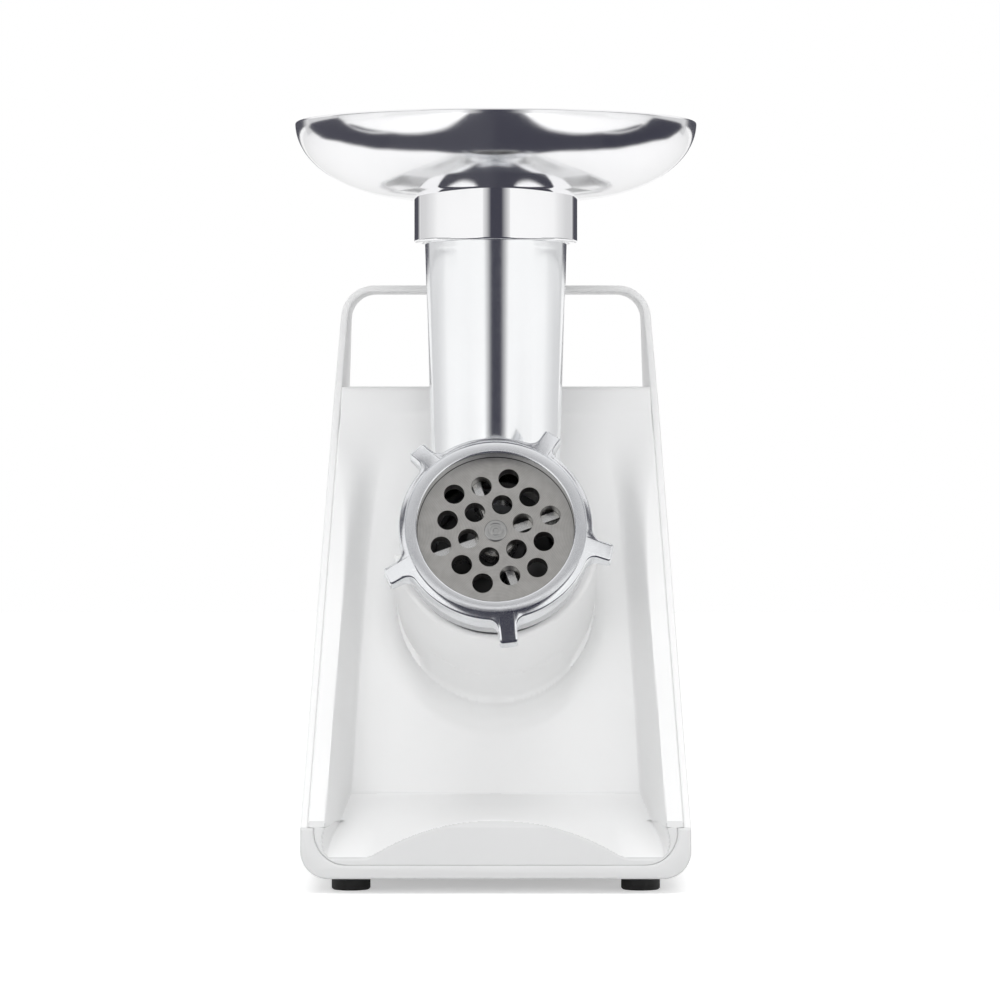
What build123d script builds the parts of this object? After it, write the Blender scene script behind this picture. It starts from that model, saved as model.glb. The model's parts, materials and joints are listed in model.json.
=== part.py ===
"""Electric meat grinder: inclined grinding head on a tall white housing with a carry hoop.

Frame: millimetres, +X right, the outlet faces -Y, +Z up, origin on the table at the centre of
the whole object. Sizes that can be set by themselves are the named values below.
"""

import os
from math import atan2, cos, degrees, radians, sin, tan

from build123d import *

os.makedirs("parts", exist_ok=True)

# ---------------------------------------------------------------- clearances
RUN_FIT = 0.08  # radial play of a shaft in its bearing
BODY_GAP = 0.3  # free gap between pieces that move apart
REACH = 200.0  # longer than the object, for cutting tools

# ---------------------------------------------------------------- grinding head, along its axis
TILT = 21.0  # outlet end up, degrees
HEAD_Y = -18.6  # where the head's axis meets the socket's seat
HEAD_Z = 102.7
HEAD_LENGTH = 100.0  # socket seat to the front of the ring nut

PLATE_RADIUS = 31.0
PLATE_THICKNESS = 5.0
HOLE_RADIUS = 3.85
HOLE_PITCH = 10.6
HOLE_TURN = 16.8  # the hole pattern's rotation, degrees
PIN_RADIUS = 4.2
KNIFE_RADIUS = 28.5
KNIFE_THICKNESS = 8.6
BLADE_WIDTH = 7.5
KNIFE_TURN = 20.0

LIP_RADIUS = 29.2  # opening of the ring nut
LIP_THICKNESS = 4.7
NUT_LENGTH = 19.5
NUT_BAND_RADIUS = 33.6  # front face
NUT_RADIUS = 36.0  # flange
NUT_SKIRT_RADIUS = 35.2
LUG_COUNT = 5
LUG_END_RADIUS = 44.2
LUG_WIDTH = 6.9
LUG_DEPTH = 9.4
LUG_TURN = -11.5  # the first lug's direction, degrees
NUT_BEVEL = 1.6
LUG_ROOT = 4.0
LUG_TIP = 1.2
LUG_SLOPE = 20.0  # the lugs' fronts fall back towards their tips, degrees
THREAD_RADIUS = 33.7
THREAD_LENGTH = 14.0

BORE_RADIUS = 22.5  # the auger's bore
BARREL_REAR_RADIUS = 26.5
BARREL_FRONT_RADIUS = 30.0
SPIGOT_RADIUS = 25.0
SPIGOT_LENGTH = 22.0
REAR_WALL = 5.0
JOURNAL_RADIUS = 9.0
BAYONET_REACH = 2.6
BAYONET_DEPTH = 5.0
BAYONET_ARC = 30.0
BAYONET_SEAT = 8.0  # from the socket's seat to the lugs' rear faces
HEAD_TURN = 35.0  # bayonet travel, degrees
LOCKED_AT = 90.0  # a lug is at the top when the head is locked
LOCK_PLAY = 2.0  # extra arc of the entry slots, degrees

FLIGHT_PITCH = 21.0
FLIGHT_THICKNESS = 3.6
CORE_RADIUS = 11.0
SQUARE_SIZE = 8.4
WASHER = 1.2

# ---------------------------------------------------------------- feed tube and tray
TUBE_Y = -54.5
TUBE_TOP_Z = 261.4
TUBE_TOP_RADIUS = 27.6
TUBE_LOW_RADIUS = 24.0
TUBE_LOW_Z = 140.0
FEED_RADIUS = 22.6
FEED_STEP_Z = 156.0  # a step that stops the pusher above the auger
FEED_STEP = 0.6

TRAY_Y = -40.0
TRAY_RADIUS = 77.4
TRAY_FLAT_RADIUS = 46.0
TRAY_BOTTOM_Z = 264.4
TRAY_RIM_Z = 293.0
TRAY_WALL = 1.4
COLLAR_RADIUS = 31.2
COLLAR_LOW_Z = 246.0

# ---------------------------------------------------------------- housing
FOOT_HEIGHT = 5.6
SEAM_Z = 25.0  # side seam between base and housing
FRONT_SEAM_Z = 11.0
TOP_Z = 192.0
BASE_HALF_WIDTH = 73.5
TOP_HALF_WIDTH = 63.6
BASE_FRONT_Y = -91.0
TOP_REAR_Y = 90.0
PANEL_Y = -30.0  # foot of the niche's back panel
FLOOR_Z = 33.0
PANEL_LEAN = 8.0
RIM_LEAN = 27.3
RIM_Y = -90.0
NICHE_HALF_WIDTH = 56.8  # at the panel's foot
NICHE_MOUTH_HALF_WIDTH = 64.2
NICHE_TAPER = 3.3
NICHE_TOP_Z = 181.0
NICHE_CORNER = 1.5
MOUTH_CORNER = 12.0
HUMP_Z = 27.6
HUMP_EDGE_Z = 11.6
HUMP_HALF_WIDTH = 50.0
WALL = 2.6
SPLIT_Y = 34.0
BOSS_RADIUS = 38.7
BOSS_RISE = 4.5
CRADLE_FRONT = 70.0  # on the head's axis, behind the ring nut
SOCKET_RADIUS = 31.5
SOCKET_SEAT = -14.0  # rear end of the socket, on the head's axis
SOCKET_FLANGE_RADIUS = 38.0
SOCKET_SCREW_CIRCLE = 34.5
SOCKET_SCREW_RADIUS = 1.6

FRAME_THICKNESS = 2.8
HOOP_TOP_Z = 233.2
HOOP_CORNER = 13.0
HOOP_FRONT_Y = 30.0
HOOP_REAR_Y = 54.0

BASE_WALL = 5.2
BASE_CORNER = 10.5
COVER_INSET = 29.5  # from the base's side
COVER_HALF_WIDTH = BASE_HALF_WIDTH - COVER_INSET
COVER_LENGTH = 150.0
COVER_THICKNESS = 2.4
COVER_REBATE = 6.0
COVER_PLAY = 0.2
COVER_SCREW_RADIUS = 1.5
COVER_SCREW_LENGTH = 4.6
COVER_SCREW_HEAD_RADIUS = 2.9
FOOT_RADIUS = 7.4
FOOT_INSET = 18.5  # from the base's side
FOOT_FRONT_Y = -70.0
FOOT_REAR_Y = 92.0
FOOT_STUD_RADIUS = 2.5

# ---------------------------------------------------------------- drive
DRIVE_MODULE = 1.2
DRIVE_TEETH = 60
SMALL_TEETH = 12
FAST_MODULE = 0.8
LARGE_TEETH = 48
PINION_TEETH = 10
DRIVE_FACE = 12.0
FAST_FACE = 8.0
SHAFT_RADIUS = 11.0
STUB_RADIUS = 5.0
HEX_FLATS = 13.6
HEX_DEPTH = 8.0
BUSH_WALL = 3.0
CASE_WALL = 3.0
CASE_PLAY = 2.0
PIN_BORE = 3.0
GEARBOX_FRONT = -18.0  # on the head's axis, behind the socket's seat
MOTOR_RADIUS = 29.5
STACK_LENGTH = 34.0
BRUSH_SPACE = 20.0  # between the stack and the rear bracket
FAN_RADIUS = 24.0
FAN_DEPTH = 8.2
MOTOR_SHAFT_RADIUS = 3.0
MOTOR_BEARING_RADIUS = 8.0
BEARING_WIDTH = 3.0
BRACKET = 3.0
LAMINATION = 5.0
COIL_SPACE = 7.5  # between the stator's ring and the rotor
ROTOR_RADIUS = MOTOR_RADIUS - LAMINATION - COIL_SPACE
AIR_GAP = 0.5
COMMUTATOR_RADIUS = 9.5

# ---------------------------------------------------------------- controls
BUTTON_RADIUS = 10.0
BUTTON_Y = 8.0
BUTTON_RISE = 4.5
BUTTON_TRAVEL = 3.0
BUTTON_SKIRT = 6.0
GUIDE_LENGTH = 14.0
WIRE = 0.5
STEM_RADIUS = 3.2
SWITCH_Z = 150.0
SWITCH_WIDTH = 15.0
SWITCH_HEIGHT = 25.0
ROCKER_ANGLE = 8.0
ROCKER_DEPTH = 5.0
ROCKER_HALF = 11.0
ROCKER_PIN_RADIUS = 1.2
INLET_Z = 40.0
INLET_RADIUS = 7.0
CORD_RADIUS = 3.3

# ---------------------------------------------------------------- planes and axes
COS, SIN = cos(radians(TILT)), sin(radians(TILT))


def leaning(y, z, lean):
    """A plane across X that faces the front and leans back from the vertical."""
    return Plane((0, y, z), x_dir=(1, 0, 0), z_dir=(0, -cos(radians(lean)), sin(radians(lean))))


HEAD = leaning(HEAD_Y, HEAD_Z, TILT)
NUT_FRONT = HEAD_LENGTH
NUT_REAR = NUT_FRONT - NUT_LENGTH
PLATE_FRONT = NUT_FRONT - LIP_THICKNESS - BODY_GAP
PLATE_REAR = PLATE_FRONT - PLATE_THICKNESS
KNIFE_FRONT = PLATE_REAR - BODY_GAP
KNIFE_REAR = KNIFE_FRONT - KNIFE_THICKNESS
BARREL_FRONT = PLATE_FRONT - 0.5
POCKET_REAR = KNIFE_REAR - 1.5

# the front of the nut and the rear foot of the housing are the same distance from the origin
REAR_Y = -HEAD_Y + NUT_FRONT * COS + NUT_BAND_RADIUS * SIN

SIDE_TAPER = (BASE_HALF_WIDTH - TOP_HALF_WIDTH) / (TOP_Z - SEAM_Z)
REAR_LEAN = degrees(atan2(REAR_Y - TOP_REAR_Y, TOP_Z - FRONT_SEAM_Z))


def half_width(z):
    return BASE_HALF_WIDTH - (z - SEAM_Z) * SIDE_TAPER


def panel_y(z):
    return PANEL_Y + (z - FLOOR_Z) * tan(radians(PANEL_LEAN))


def rim_y(z):
    return RIM_Y + (z - SEAM_Z) * tan(radians(RIM_LEAN))


def rear_y(z):
    return REAR_Y - (z - FRONT_SEAM_Z) * tan(radians(REAR_LEAN))


def across(y):
    """The X-Z plane at a distance along Y, facing the front."""
    return Plane.XZ.offset(-y)


def profile_plane(plane, drop=0.0):
    """Local x is the radius and local y the distance along the plane's normal."""
    return Plane(plane.origin - plane.y_dir * drop, x_dir=plane.x_dir, z_dir=-plane.y_dir)


def axis_of(plane, drop=0.0):
    return Axis(plane.origin - plane.y_dir * drop, plane.z_dir)


def turned(*points, plane=HEAD, drop=0.0, mode=Mode.ADD):
    """Revolves a closed outline of (radius, distance) points in the part being built."""
    with BuildSketch(profile_plane(plane, drop)) as outline:
        with BuildLine():
            Polyline(*points, close=True)
        make_face()
    revolve(outline.sketch, axis=axis_of(plane, drop), mode=mode)


def ring(outer, inner, low, high, plane=HEAD, drop=0.0, mode=Mode.ADD):
    turned((inner, low), (outer, low), (outer, high), (inner, high), plane=plane, drop=drop, mode=mode)


def disc(radius, low, high, plane=HEAD, drop=0.0, mode=Mode.ADD):
    ring(radius, 0, low, high, plane=plane, drop=drop, mode=mode)


def prism(plane, points, low, high, mode=Mode.ADD):
    """Extrudes a closed polygon between two distances from its plane."""
    with BuildSketch(plane.offset(low)) as outline:
        with BuildLine():
            Polyline(*points, close=True)
        make_face()
    extrude(outline.sketch, amount=high - low, mode=mode)


def keep(part, name):
    part.part.label = name
    export_step(part.part, f"parts/{name}.step")


# ================================================================ housing

# ---- front housing: side cheeks, niche, boss and the front part of the top
core_front = [(rim_y(SEAM_Z), SEAM_Z), (rim_y(NICHE_TOP_Z), NICHE_TOP_Z), (panel_y(TOP_Z), TOP_Z)]


def inner_half_width(z):
    return half_width(z) - FRAME_THICKNESS


def side_walls(z_low, z_high, inset=0.0):
    low, high = inner_half_width(z_low) - inset, inner_half_width(z_high) - inset
    return [(-low, z_low), (low, z_low), (high, z_high), (-high, z_high)]


# the opening of the niche, drawn at its two ends
panel = leaning(PANEL_Y, FLOOR_Z, PANEL_LEAN)
mouth = leaning(RIM_Y, SEAM_Z, RIM_LEAN).offset(0.5)
panel_rise = (NICHE_TOP_Z - FLOOR_Z) / cos(radians(PANEL_LEAN))
mouth_rise = (NICHE_TOP_Z - SEAM_Z) / cos(radians(RIM_LEAN))
mouth_drop = (SEAM_Z - FRONT_SEAM_Z) / cos(radians(RIM_LEAN))


def niche_section(plane, low, high, half, corner):
    """A tapered opening with its lower corners rounded."""
    top_half = half - (high - max(low, 0)) * tan(radians(NICHE_TAPER))
    with BuildSketch(plane) as section:
        with BuildLine():
            Polyline((-half, low), (half, low), (top_half, high), (-top_half, high), close=True)
        make_face()
        fillet(section.vertices().group_by(Axis.Y)[0], corner)
    return section.sketch


FOOT_INNER = BASE_HALF_WIDTH - BASE_WALL - MOUTH_CORNER

# the hollow shared by the front housing and the rear cover, open below
with BuildPart() as cavity:
    prism(
        Plane.YZ,
        [
            (panel_y(0) + WALL, 0),
            (panel_y(TOP_Z - WALL) + WALL, TOP_Z - WALL),
            (rear_y(TOP_Z - WALL) - WALL, TOP_Z - WALL),
            (rear_y(0) - WALL, 0),
        ],
        -REACH / 2,
        REACH / 2,
    )
    low_half, high_half = inner_half_width(SEAM_Z) - WALL, inner_half_width(TOP_Z) - WALL
    prism(
        across(0),
        [
            (-FOOT_INNER, 0),
            (FOOT_INNER, 0),
            (FOOT_INNER, SEAM_Z),
            (low_half, SEAM_Z + WALL),
            (high_half, TOP_Z),
            (-high_half, TOP_Z),
            (-low_half, SEAM_Z + WALL),
            (-FOOT_INNER, SEAM_Z),
        ],
        -REACH,
        REACH,
        mode=Mode.INTERSECT,
    )

with BuildPart() as front_housing:
    prism(
        Plane.YZ,
        core_front + [(SPLIT_Y, TOP_Z), (SPLIT_Y, SEAM_Z)],
        -REACH / 2,
        REACH / 2,
    )
    prism(across(0), side_walls(SEAM_Z, TOP_Z), -REACH, REACH, mode=Mode.INTERSECT)
    # the foot of the housing drops into the base shell
    with BuildSketch(across(RIM_Y)) as foot:
        with BuildLine():
            Polyline(
                (-BASE_HALF_WIDTH + BASE_WALL, SEAM_Z),
                (-BASE_HALF_WIDTH + BASE_WALL, FRONT_SEAM_Z),
                (BASE_HALF_WIDTH - BASE_WALL, FRONT_SEAM_Z),
                (BASE_HALF_WIDTH - BASE_WALL, SEAM_Z),
                close=True,
            )
        make_face()
        fillet(foot.vertices().group_by(Axis.Y)[0], MOUTH_CORNER)
    extrude(foot.sketch, amount=RIM_Y - SPLIT_Y)
    add(cavity.part, mode=Mode.SUBTRACT)
    back_section = niche_section(panel, 0, panel_rise, NICHE_HALF_WIDTH, NICHE_CORNER)
    mouth_section = niche_section(mouth, -mouth_drop, mouth_rise, NICHE_MOUTH_HALF_WIDTH, MOUTH_CORNER)
    loft([back_section.faces()[0], mouth_section.faces()[0]], ruled=True, mode=Mode.SUBTRACT)
    # the floor's hump, a straight edge at the back and an arch at the front
    with BuildSketch(across(PANEL_Y)) as hump_back:
        with BuildLine():
            Polyline(
                (-HUMP_HALF_WIDTH, FRONT_SEAM_Z),
                (HUMP_HALF_WIDTH, FRONT_SEAM_Z),
                (HUMP_HALF_WIDTH, FLOOR_Z),
                (-HUMP_HALF_WIDTH, FLOOR_Z),
                close=True,
            )
        make_face()
    with BuildSketch(across(RIM_Y)) as hump_front:
        with BuildLine():
            Polyline(
                (-HUMP_HALF_WIDTH, HUMP_EDGE_Z),
                (-HUMP_HALF_WIDTH, FRONT_SEAM_Z),
                (HUMP_HALF_WIDTH, FRONT_SEAM_Z),
                (HUMP_HALF_WIDTH, HUMP_EDGE_Z),
            )
            ThreePointArc((HUMP_HALF_WIDTH, HUMP_EDGE_Z), (0, HUMP_Z), (-HUMP_HALF_WIDTH, HUMP_EDGE_Z))
        make_face()
    loft([hump_back.sketch.faces()[0], hump_front.sketch.faces()[0]], ruled=True)
    # the round boss behind the nut, and the socket's seat through it
    with BuildSketch(HEAD.offset(SPIGOT_LENGTH)) as boss:
        with Locations((0, BOSS_RISE)):
            Circle(BOSS_RADIUS)
    extrude(boss.sketch, until=Until.NEXT, dir=-HEAD.z_dir)
    # its lower half runs on as a cradle under the barrel, open above for the feed tube
    with BuildSketch(HEAD.offset(SPIGOT_LENGTH)) as cradle:
        with Locations((0, BOSS_RISE)):
            Circle(BOSS_RADIUS)
        Rectangle(2 * BOSS_RADIUS, 2 * BOSS_RADIUS, align=(Align.CENTER, Align.MIN), mode=Mode.SUBTRACT)
    extrude(cradle.sketch, amount=CRADLE_FRONT - SPIGOT_LENGTH)
    disc(SOCKET_RADIUS, -40, CRADLE_FRONT + 1, mode=Mode.SUBTRACT)
    # the lock button's hole in the top
    with Locations((0, BUTTON_Y, TOP_Z)):
        Hole(BUTTON_RADIUS + BODY_GAP, 2 * WALL)
keep(front_housing, "front_housing")

# ---- rear cover, closing the housing behind the split
with BuildPart() as rear_cover:
    prism(
        Plane.YZ,
        [
            (SPLIT_Y, FRONT_SEAM_Z),
            (SPLIT_Y, TOP_Z),
            (rear_y(TOP_Z), TOP_Z),
            (rear_y(FRONT_SEAM_Z), FRONT_SEAM_Z),
        ],
        -REACH / 2,
        REACH / 2,
    )
    with BuildSketch(across(SPLIT_Y)) as shell:
        with BuildLine():
            Polyline(*side_walls(SEAM_Z, TOP_Z), close=True)
        make_face()
        with BuildLine():
            Polyline(
                (-BASE_HALF_WIDTH + BASE_WALL, SEAM_Z),
                (-BASE_HALF_WIDTH + BASE_WALL, FRONT_SEAM_Z),
                (BASE_HALF_WIDTH - BASE_WALL, FRONT_SEAM_Z),
                (BASE_HALF_WIDTH - BASE_WALL, SEAM_Z),
                close=True,
            )
        make_face()
        fillet(shell.vertices().group_by(Axis.Y)[0], MOUTH_CORNER)
    extrude(shell.sketch, amount=-REACH, mode=Mode.INTERSECT)
    add(cavity.part, mode=Mode.SUBTRACT)
    # openings for the switch and the cord inlet
    rear_wall = Plane(
        (0, rear_y(SWITCH_Z), SWITCH_Z),
        x_dir=(-1, 0, 0),
        z_dir=(0, cos(radians(REAR_LEAN)), sin(radians(REAR_LEAN))),
    )
    inlet = Plane((0, rear_y(INLET_Z), INLET_Z), x_dir=(-1, 0, 0), z_dir=rear_wall.z_dir)
    with BuildSketch(rear_wall) as switch_hole:
        Rectangle(SWITCH_WIDTH + 5.0, SWITCH_HEIGHT + 5.0)
    extrude(switch_hole.sketch, amount=2 * WALL, both=True, mode=Mode.SUBTRACT)
    disc(INLET_RADIUS, -2 * WALL, 2 * WALL, plane=inlet, mode=Mode.SUBTRACT)
    # cooling slots low on both sides of the inlet
    with BuildSketch(inlet) as slots:
        for side in (-1, 1):
            with Locations((side * 34, 6)):
                with GridLocations(0, 6.5, 1, 6):
                    SlotOverall(30, 2.6)
    extrude(slots.sketch, amount=2 * WALL, both=True, mode=Mode.SUBTRACT)
keep(rear_cover, "rear_cover")

# ---- side frame with the carry hoop
with BuildPart() as handle_frame:
    with BuildSketch(Plane.YZ.offset(-REACH / 2)) as side_view:
        with BuildLine():
            Polyline(
                (HOOP_FRONT_Y, HOOP_TOP_Z),
                (HOOP_REAR_Y, HOOP_TOP_Z),
                (rear_y(TOP_Z), TOP_Z),
                (rear_y(SEAM_Z), SEAM_Z),
                (rim_y(SEAM_Z), SEAM_Z),
                (rim_y(NICHE_TOP_Z), NICHE_TOP_Z),
                (panel_y(TOP_Z), TOP_Z),
                close=True,
            )
        make_face()
    extrude(side_view.sketch, amount=REACH)
    top_half = half_width(HOOP_TOP_Z)
    hoop_low_z = HOOP_TOP_Z - FRAME_THICKNESS
    with BuildSketch(across(0)) as arch:
        with BuildLine():
            Polyline(
                (-half_width(SEAM_Z), SEAM_Z),
                (-top_half, HOOP_TOP_Z),
                (top_half, HOOP_TOP_Z),
                (half_width(SEAM_Z), SEAM_Z),
                close=True,
            )
        make_face()
        fillet(arch.vertices().group_by(Axis.Y)[-1], HOOP_CORNER)
        with BuildLine(mode=Mode.PRIVATE) as inner_line:
            Polyline(
                (-inner_half_width(0), 0),
                (-inner_half_width(hoop_low_z), hoop_low_z),
                (inner_half_width(hoop_low_z), hoop_low_z),
                (inner_half_width(0), 0),
                close=True,
            )
        with BuildSketch(mode=Mode.PRIVATE) as opening:
            add(inner_line.line)
            make_face()
            fillet(opening.vertices().group_by(Axis.Y)[-1], HOOP_CORNER - FRAME_THICKNESS)
        add(opening.sketch, mode=Mode.SUBTRACT)
    extrude(arch.sketch, amount=REACH, both=True, mode=Mode.INTERSECT)
keep(handle_frame, "handle_frame")

# ---- base shell: a deep U that carries the housing
COVER_MID_Y = (BASE_FRONT_Y + REAR_Y) / 2
foot_places = [(side * (BASE_HALF_WIDTH - FOOT_INSET), y) for y in (FOOT_FRONT_Y, FOOT_REAR_Y) for side in (-1, 1)]
cover_screw_places = [
    (x * (COVER_HALF_WIDTH - COVER_REBATE / 2), COVER_MID_Y + y * (COVER_LENGTH - COVER_REBATE) / 2)
    for x in (-1, 1)
    for y in (-1, 1)
]
base_underside = Plane.XY.offset(FOOT_HEIGHT)

with BuildPart() as base_shell:
    with BuildSketch(across(BASE_FRONT_Y)) as trough:
        with BuildLine():
            Polyline(
                (-BASE_HALF_WIDTH, SEAM_Z),
                (-BASE_HALF_WIDTH, FOOT_HEIGHT),
                (BASE_HALF_WIDTH, FOOT_HEIGHT),
                (BASE_HALF_WIDTH, SEAM_Z),
                close=True,
            )
        make_face()
        fillet(trough.vertices().group_by(Axis.Y)[0], BASE_CORNER)
        with BuildSketch(mode=Mode.PRIVATE) as inner:
            with BuildLine():
                Polyline(
                    (-BASE_HALF_WIDTH + BASE_WALL, REACH),
                    (-BASE_HALF_WIDTH + BASE_WALL, FRONT_SEAM_Z),
                    (BASE_HALF_WIDTH - BASE_WALL, FRONT_SEAM_Z),
                    (BASE_HALF_WIDTH - BASE_WALL, REACH),
                    close=True,
                )
            make_face()
            fillet(inner.vertices().group_by(Axis.Y)[0], MOUTH_CORNER)
        add(inner.sketch, mode=Mode.SUBTRACT)
    extrude(trough.sketch, amount=BASE_FRONT_Y - REAR_Y)
    # service opening in the floor, rebated from below for its cover
    with BuildSketch(base_underside) as rebate:
        with Locations((0, COVER_MID_Y)):
            Rectangle(2 * COVER_HALF_WIDTH + 2 * COVER_PLAY, COVER_LENGTH + 2 * COVER_PLAY)
    extrude(rebate.sketch, amount=COVER_THICKNESS, mode=Mode.SUBTRACT)
    with BuildSketch(base_underside) as window:
        with Locations((0, COVER_MID_Y)):
            Rectangle(2 * (COVER_HALF_WIDTH - COVER_REBATE), COVER_LENGTH - 2 * COVER_REBATE)
    extrude(window.sketch, amount=SEAM_Z, mode=Mode.SUBTRACT)
    with BuildSketch(base_underside) as stud_holes:
        with Locations(*cover_screw_places):
            Circle(COVER_SCREW_RADIUS)
        with Locations(*foot_places):
            Circle(FOOT_STUD_RADIUS)
    extrude(stud_holes.sketch, amount=SEAM_Z, mode=Mode.SUBTRACT)
keep(base_shell, "base_shell")

with BuildPart() as bottom_cover:
    with BuildSketch(base_underside) as cover_outline:
        with Locations((0, COVER_MID_Y)):
            Rectangle(2 * COVER_HALF_WIDTH, COVER_LENGTH)
        fillet(cover_outline.vertices(), 1.0)
        with Locations(*cover_screw_places):
            Circle(COVER_SCREW_RADIUS, mode=Mode.SUBTRACT)
        with Locations((0, COVER_MID_Y)):
            with GridLocations(0, 7, 1, 8):
                SlotOverall(46, 3, mode=Mode.SUBTRACT)
    extrude(cover_outline.sketch, amount=COVER_THICKNESS)
keep(bottom_cover, "bottom_cover")

with BuildPart() as cover_screws:
    with BuildSketch(base_underside) as shanks:
        with Locations(*cover_screw_places):
            Circle(COVER_SCREW_RADIUS)
    extrude(shanks.sketch, amount=COVER_SCREW_LENGTH)
    with BuildSketch(base_underside) as heads:
        with Locations(*cover_screw_places):
            Circle(COVER_SCREW_HEAD_RADIUS)
    extrude(heads.sketch, amount=-1.6)
keep(cover_screws, "cover_screws")

# ---- four rubber feet, each a disc with a stud pressed into the base
with BuildPart() as feet:
    with BuildSketch() as soles:
        with Locations(*foot_places):
            Circle(FOOT_RADIUS)
    extrude(soles.sketch, amount=FOOT_HEIGHT)
    chamfer(feet.edges().group_by(Axis.Z)[0], 0.6)
    with BuildSketch(base_underside) as studs:
        with Locations(*foot_places):
            Circle(FOOT_STUD_RADIUS)
    extrude(studs.sketch, amount=FRONT_SEAM_Z - FOOT_HEIGHT)
keep(feet, "feet")

# ================================================================ head socket
SPIGOT_BORE = SPIGOT_RADIUS + RUN_FIT
GROOVE_RADIUS = SPIGOT_RADIUS + BAYONET_REACH + BODY_GAP
GROOVE_LOW = BAYONET_SEAT - BODY_GAP
GROOVE_HIGH = BAYONET_SEAT + BAYONET_DEPTH + BODY_GAP


def sectors(plane, radius, arc, start, depth, mode=Mode.ADD):
    """Three equal sectors of a disc, for the bayonet's lugs and their entry slots."""
    with BuildSketch(plane) as outline:
        for at in (start, start + 120, start + 240):
            sides = [radians(at - arc / 2), radians(at + arc / 2)]
            corners = [(2 * radius * cos(side), 2 * radius * sin(side)) for side in sides]
            with BuildLine():
                Polyline((0, 0), *corners, close=True)
            make_face()
        Circle(radius, mode=Mode.INTERSECT)
    extrude(outline.sketch, amount=depth, mode=mode)



with BuildPart() as head_socket:
    ring(SOCKET_RADIUS, SPIGOT_BORE, SOCKET_SEAT, SPIGOT_LENGTH - 0.4)
    ring(SOCKET_FLANGE_RADIUS, SPIGOT_BORE, GEARBOX_FRONT, SOCKET_SEAT)
    ring(GROOVE_RADIUS, 0, GROOVE_LOW, GROOVE_HIGH, mode=Mode.SUBTRACT)
    # entry slots, where the lugs stand once the head is turned out of its lock
    sectors(
        HEAD.offset(GROOVE_LOW),
        GROOVE_RADIUS,
        BAYONET_ARC + 2 * LOCK_PLAY,
        LOCKED_AT + HEAD_TURN,
        SPIGOT_LENGTH,
        mode=Mode.SUBTRACT,
    )
    with BuildSketch(HEAD.offset(GEARBOX_FRONT)) as fixings:
        with PolarLocations(SOCKET_SCREW_CIRCLE, 4, start_angle=45):
            Circle(SOCKET_SCREW_RADIUS)
    extrude(fixings.sketch, amount=SOCKET_SEAT - GEARBOX_FRONT, mode=Mode.SUBTRACT)
keep(head_socket, "head_socket")

# ================================================================ grinding head
TUBE = Plane((0, TUBE_Y, 0), x_dir=(1, 0, 0), z_dir=(0, 0, 1))
TUBE_AXIS_W = (HEAD_Y - TUBE_Y) / COS  # where the tube meets the head's axis
TUBE_TAPER = (TUBE_TOP_RADIUS - TUBE_LOW_RADIUS) / (TUBE_TOP_Z - TUBE_LOW_Z)
TUBE_ROOT_Z = HEAD_Z + TUBE_AXIS_W * SIN

with BuildPart() as head_casting:
    turned(
        (0, BODY_GAP),
        (SPIGOT_RADIUS, BODY_GAP),
        (SPIGOT_RADIUS, SPIGOT_LENGTH),
        (BARREL_REAR_RADIUS, SPIGOT_LENGTH + BODY_GAP),
        (BARREL_FRONT_RADIUS, BARREL_FRONT - THREAD_LENGTH - 3.0),
        (THREAD_RADIUS, BARREL_FRONT - THREAD_LENGTH),
        (THREAD_RADIUS, BARREL_FRONT - 0.8),
        (THREAD_RADIUS - 0.8, BARREL_FRONT),
        (0, BARREL_FRONT),
    )
    turned(
        (0, TUBE_ROOT_Z),
        (TUBE_LOW_RADIUS - (TUBE_LOW_Z - TUBE_ROOT_Z) * TUBE_TAPER, TUBE_ROOT_Z),
        (TUBE_TOP_RADIUS, TUBE_TOP_Z),
        (0, TUBE_TOP_Z),
        plane=TUBE,
    )
    # bayonet lugs on the spigot
    sectors(HEAD.offset(BAYONET_SEAT), SPIGOT_RADIUS + BAYONET_REACH, BAYONET_ARC, LOCKED_AT, BAYONET_DEPTH)
    # bores: the auger's barrel, the pocket for knife and plate, the journal and the feed tube
    disc(BORE_RADIUS, REAR_WALL, BARREL_FRONT, mode=Mode.SUBTRACT)
    disc(PLATE_RADIUS + 0.15, POCKET_REAR, BARREL_FRONT, mode=Mode.SUBTRACT)
    disc(JOURNAL_RADIUS + RUN_FIT, 0, REAR_WALL, mode=Mode.SUBTRACT)
    disc(FEED_RADIUS, FEED_STEP_Z, TUBE_TOP_Z, plane=TUBE, mode=Mode.SUBTRACT)
    disc(FEED_RADIUS - FEED_STEP, TUBE_ROOT_Z, FEED_STEP_Z, plane=TUBE, mode=Mode.SUBTRACT)
keep(head_casting, "head_casting")

# ---- hole plate: a hexagonal field of holes round the pin's bearing
with BuildPart() as hole_plate:
    with BuildSketch(HEAD.offset(PLATE_REAR)) as plate_outline:
        Circle(PLATE_RADIUS)
        hexagon = [
            Vector(HOLE_PITCH * (i + j / 2), HOLE_PITCH * j * 3**0.5 / 2).rotate(Axis.Z, HOLE_TURN)
            for i in range(-2, 3)
            for j in range(-2, 3)
            if 0 < i * i + i * j + j * j <= 4
        ]
        with Locations(*hexagon):
            Circle(HOLE_RADIUS, mode=Mode.SUBTRACT)
        Circle(PIN_RADIUS + RUN_FIT, mode=Mode.SUBTRACT)
    extrude(plate_outline.sketch, amount=PLATE_THICKNESS)
keep(hole_plate, "hole_plate")

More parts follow.
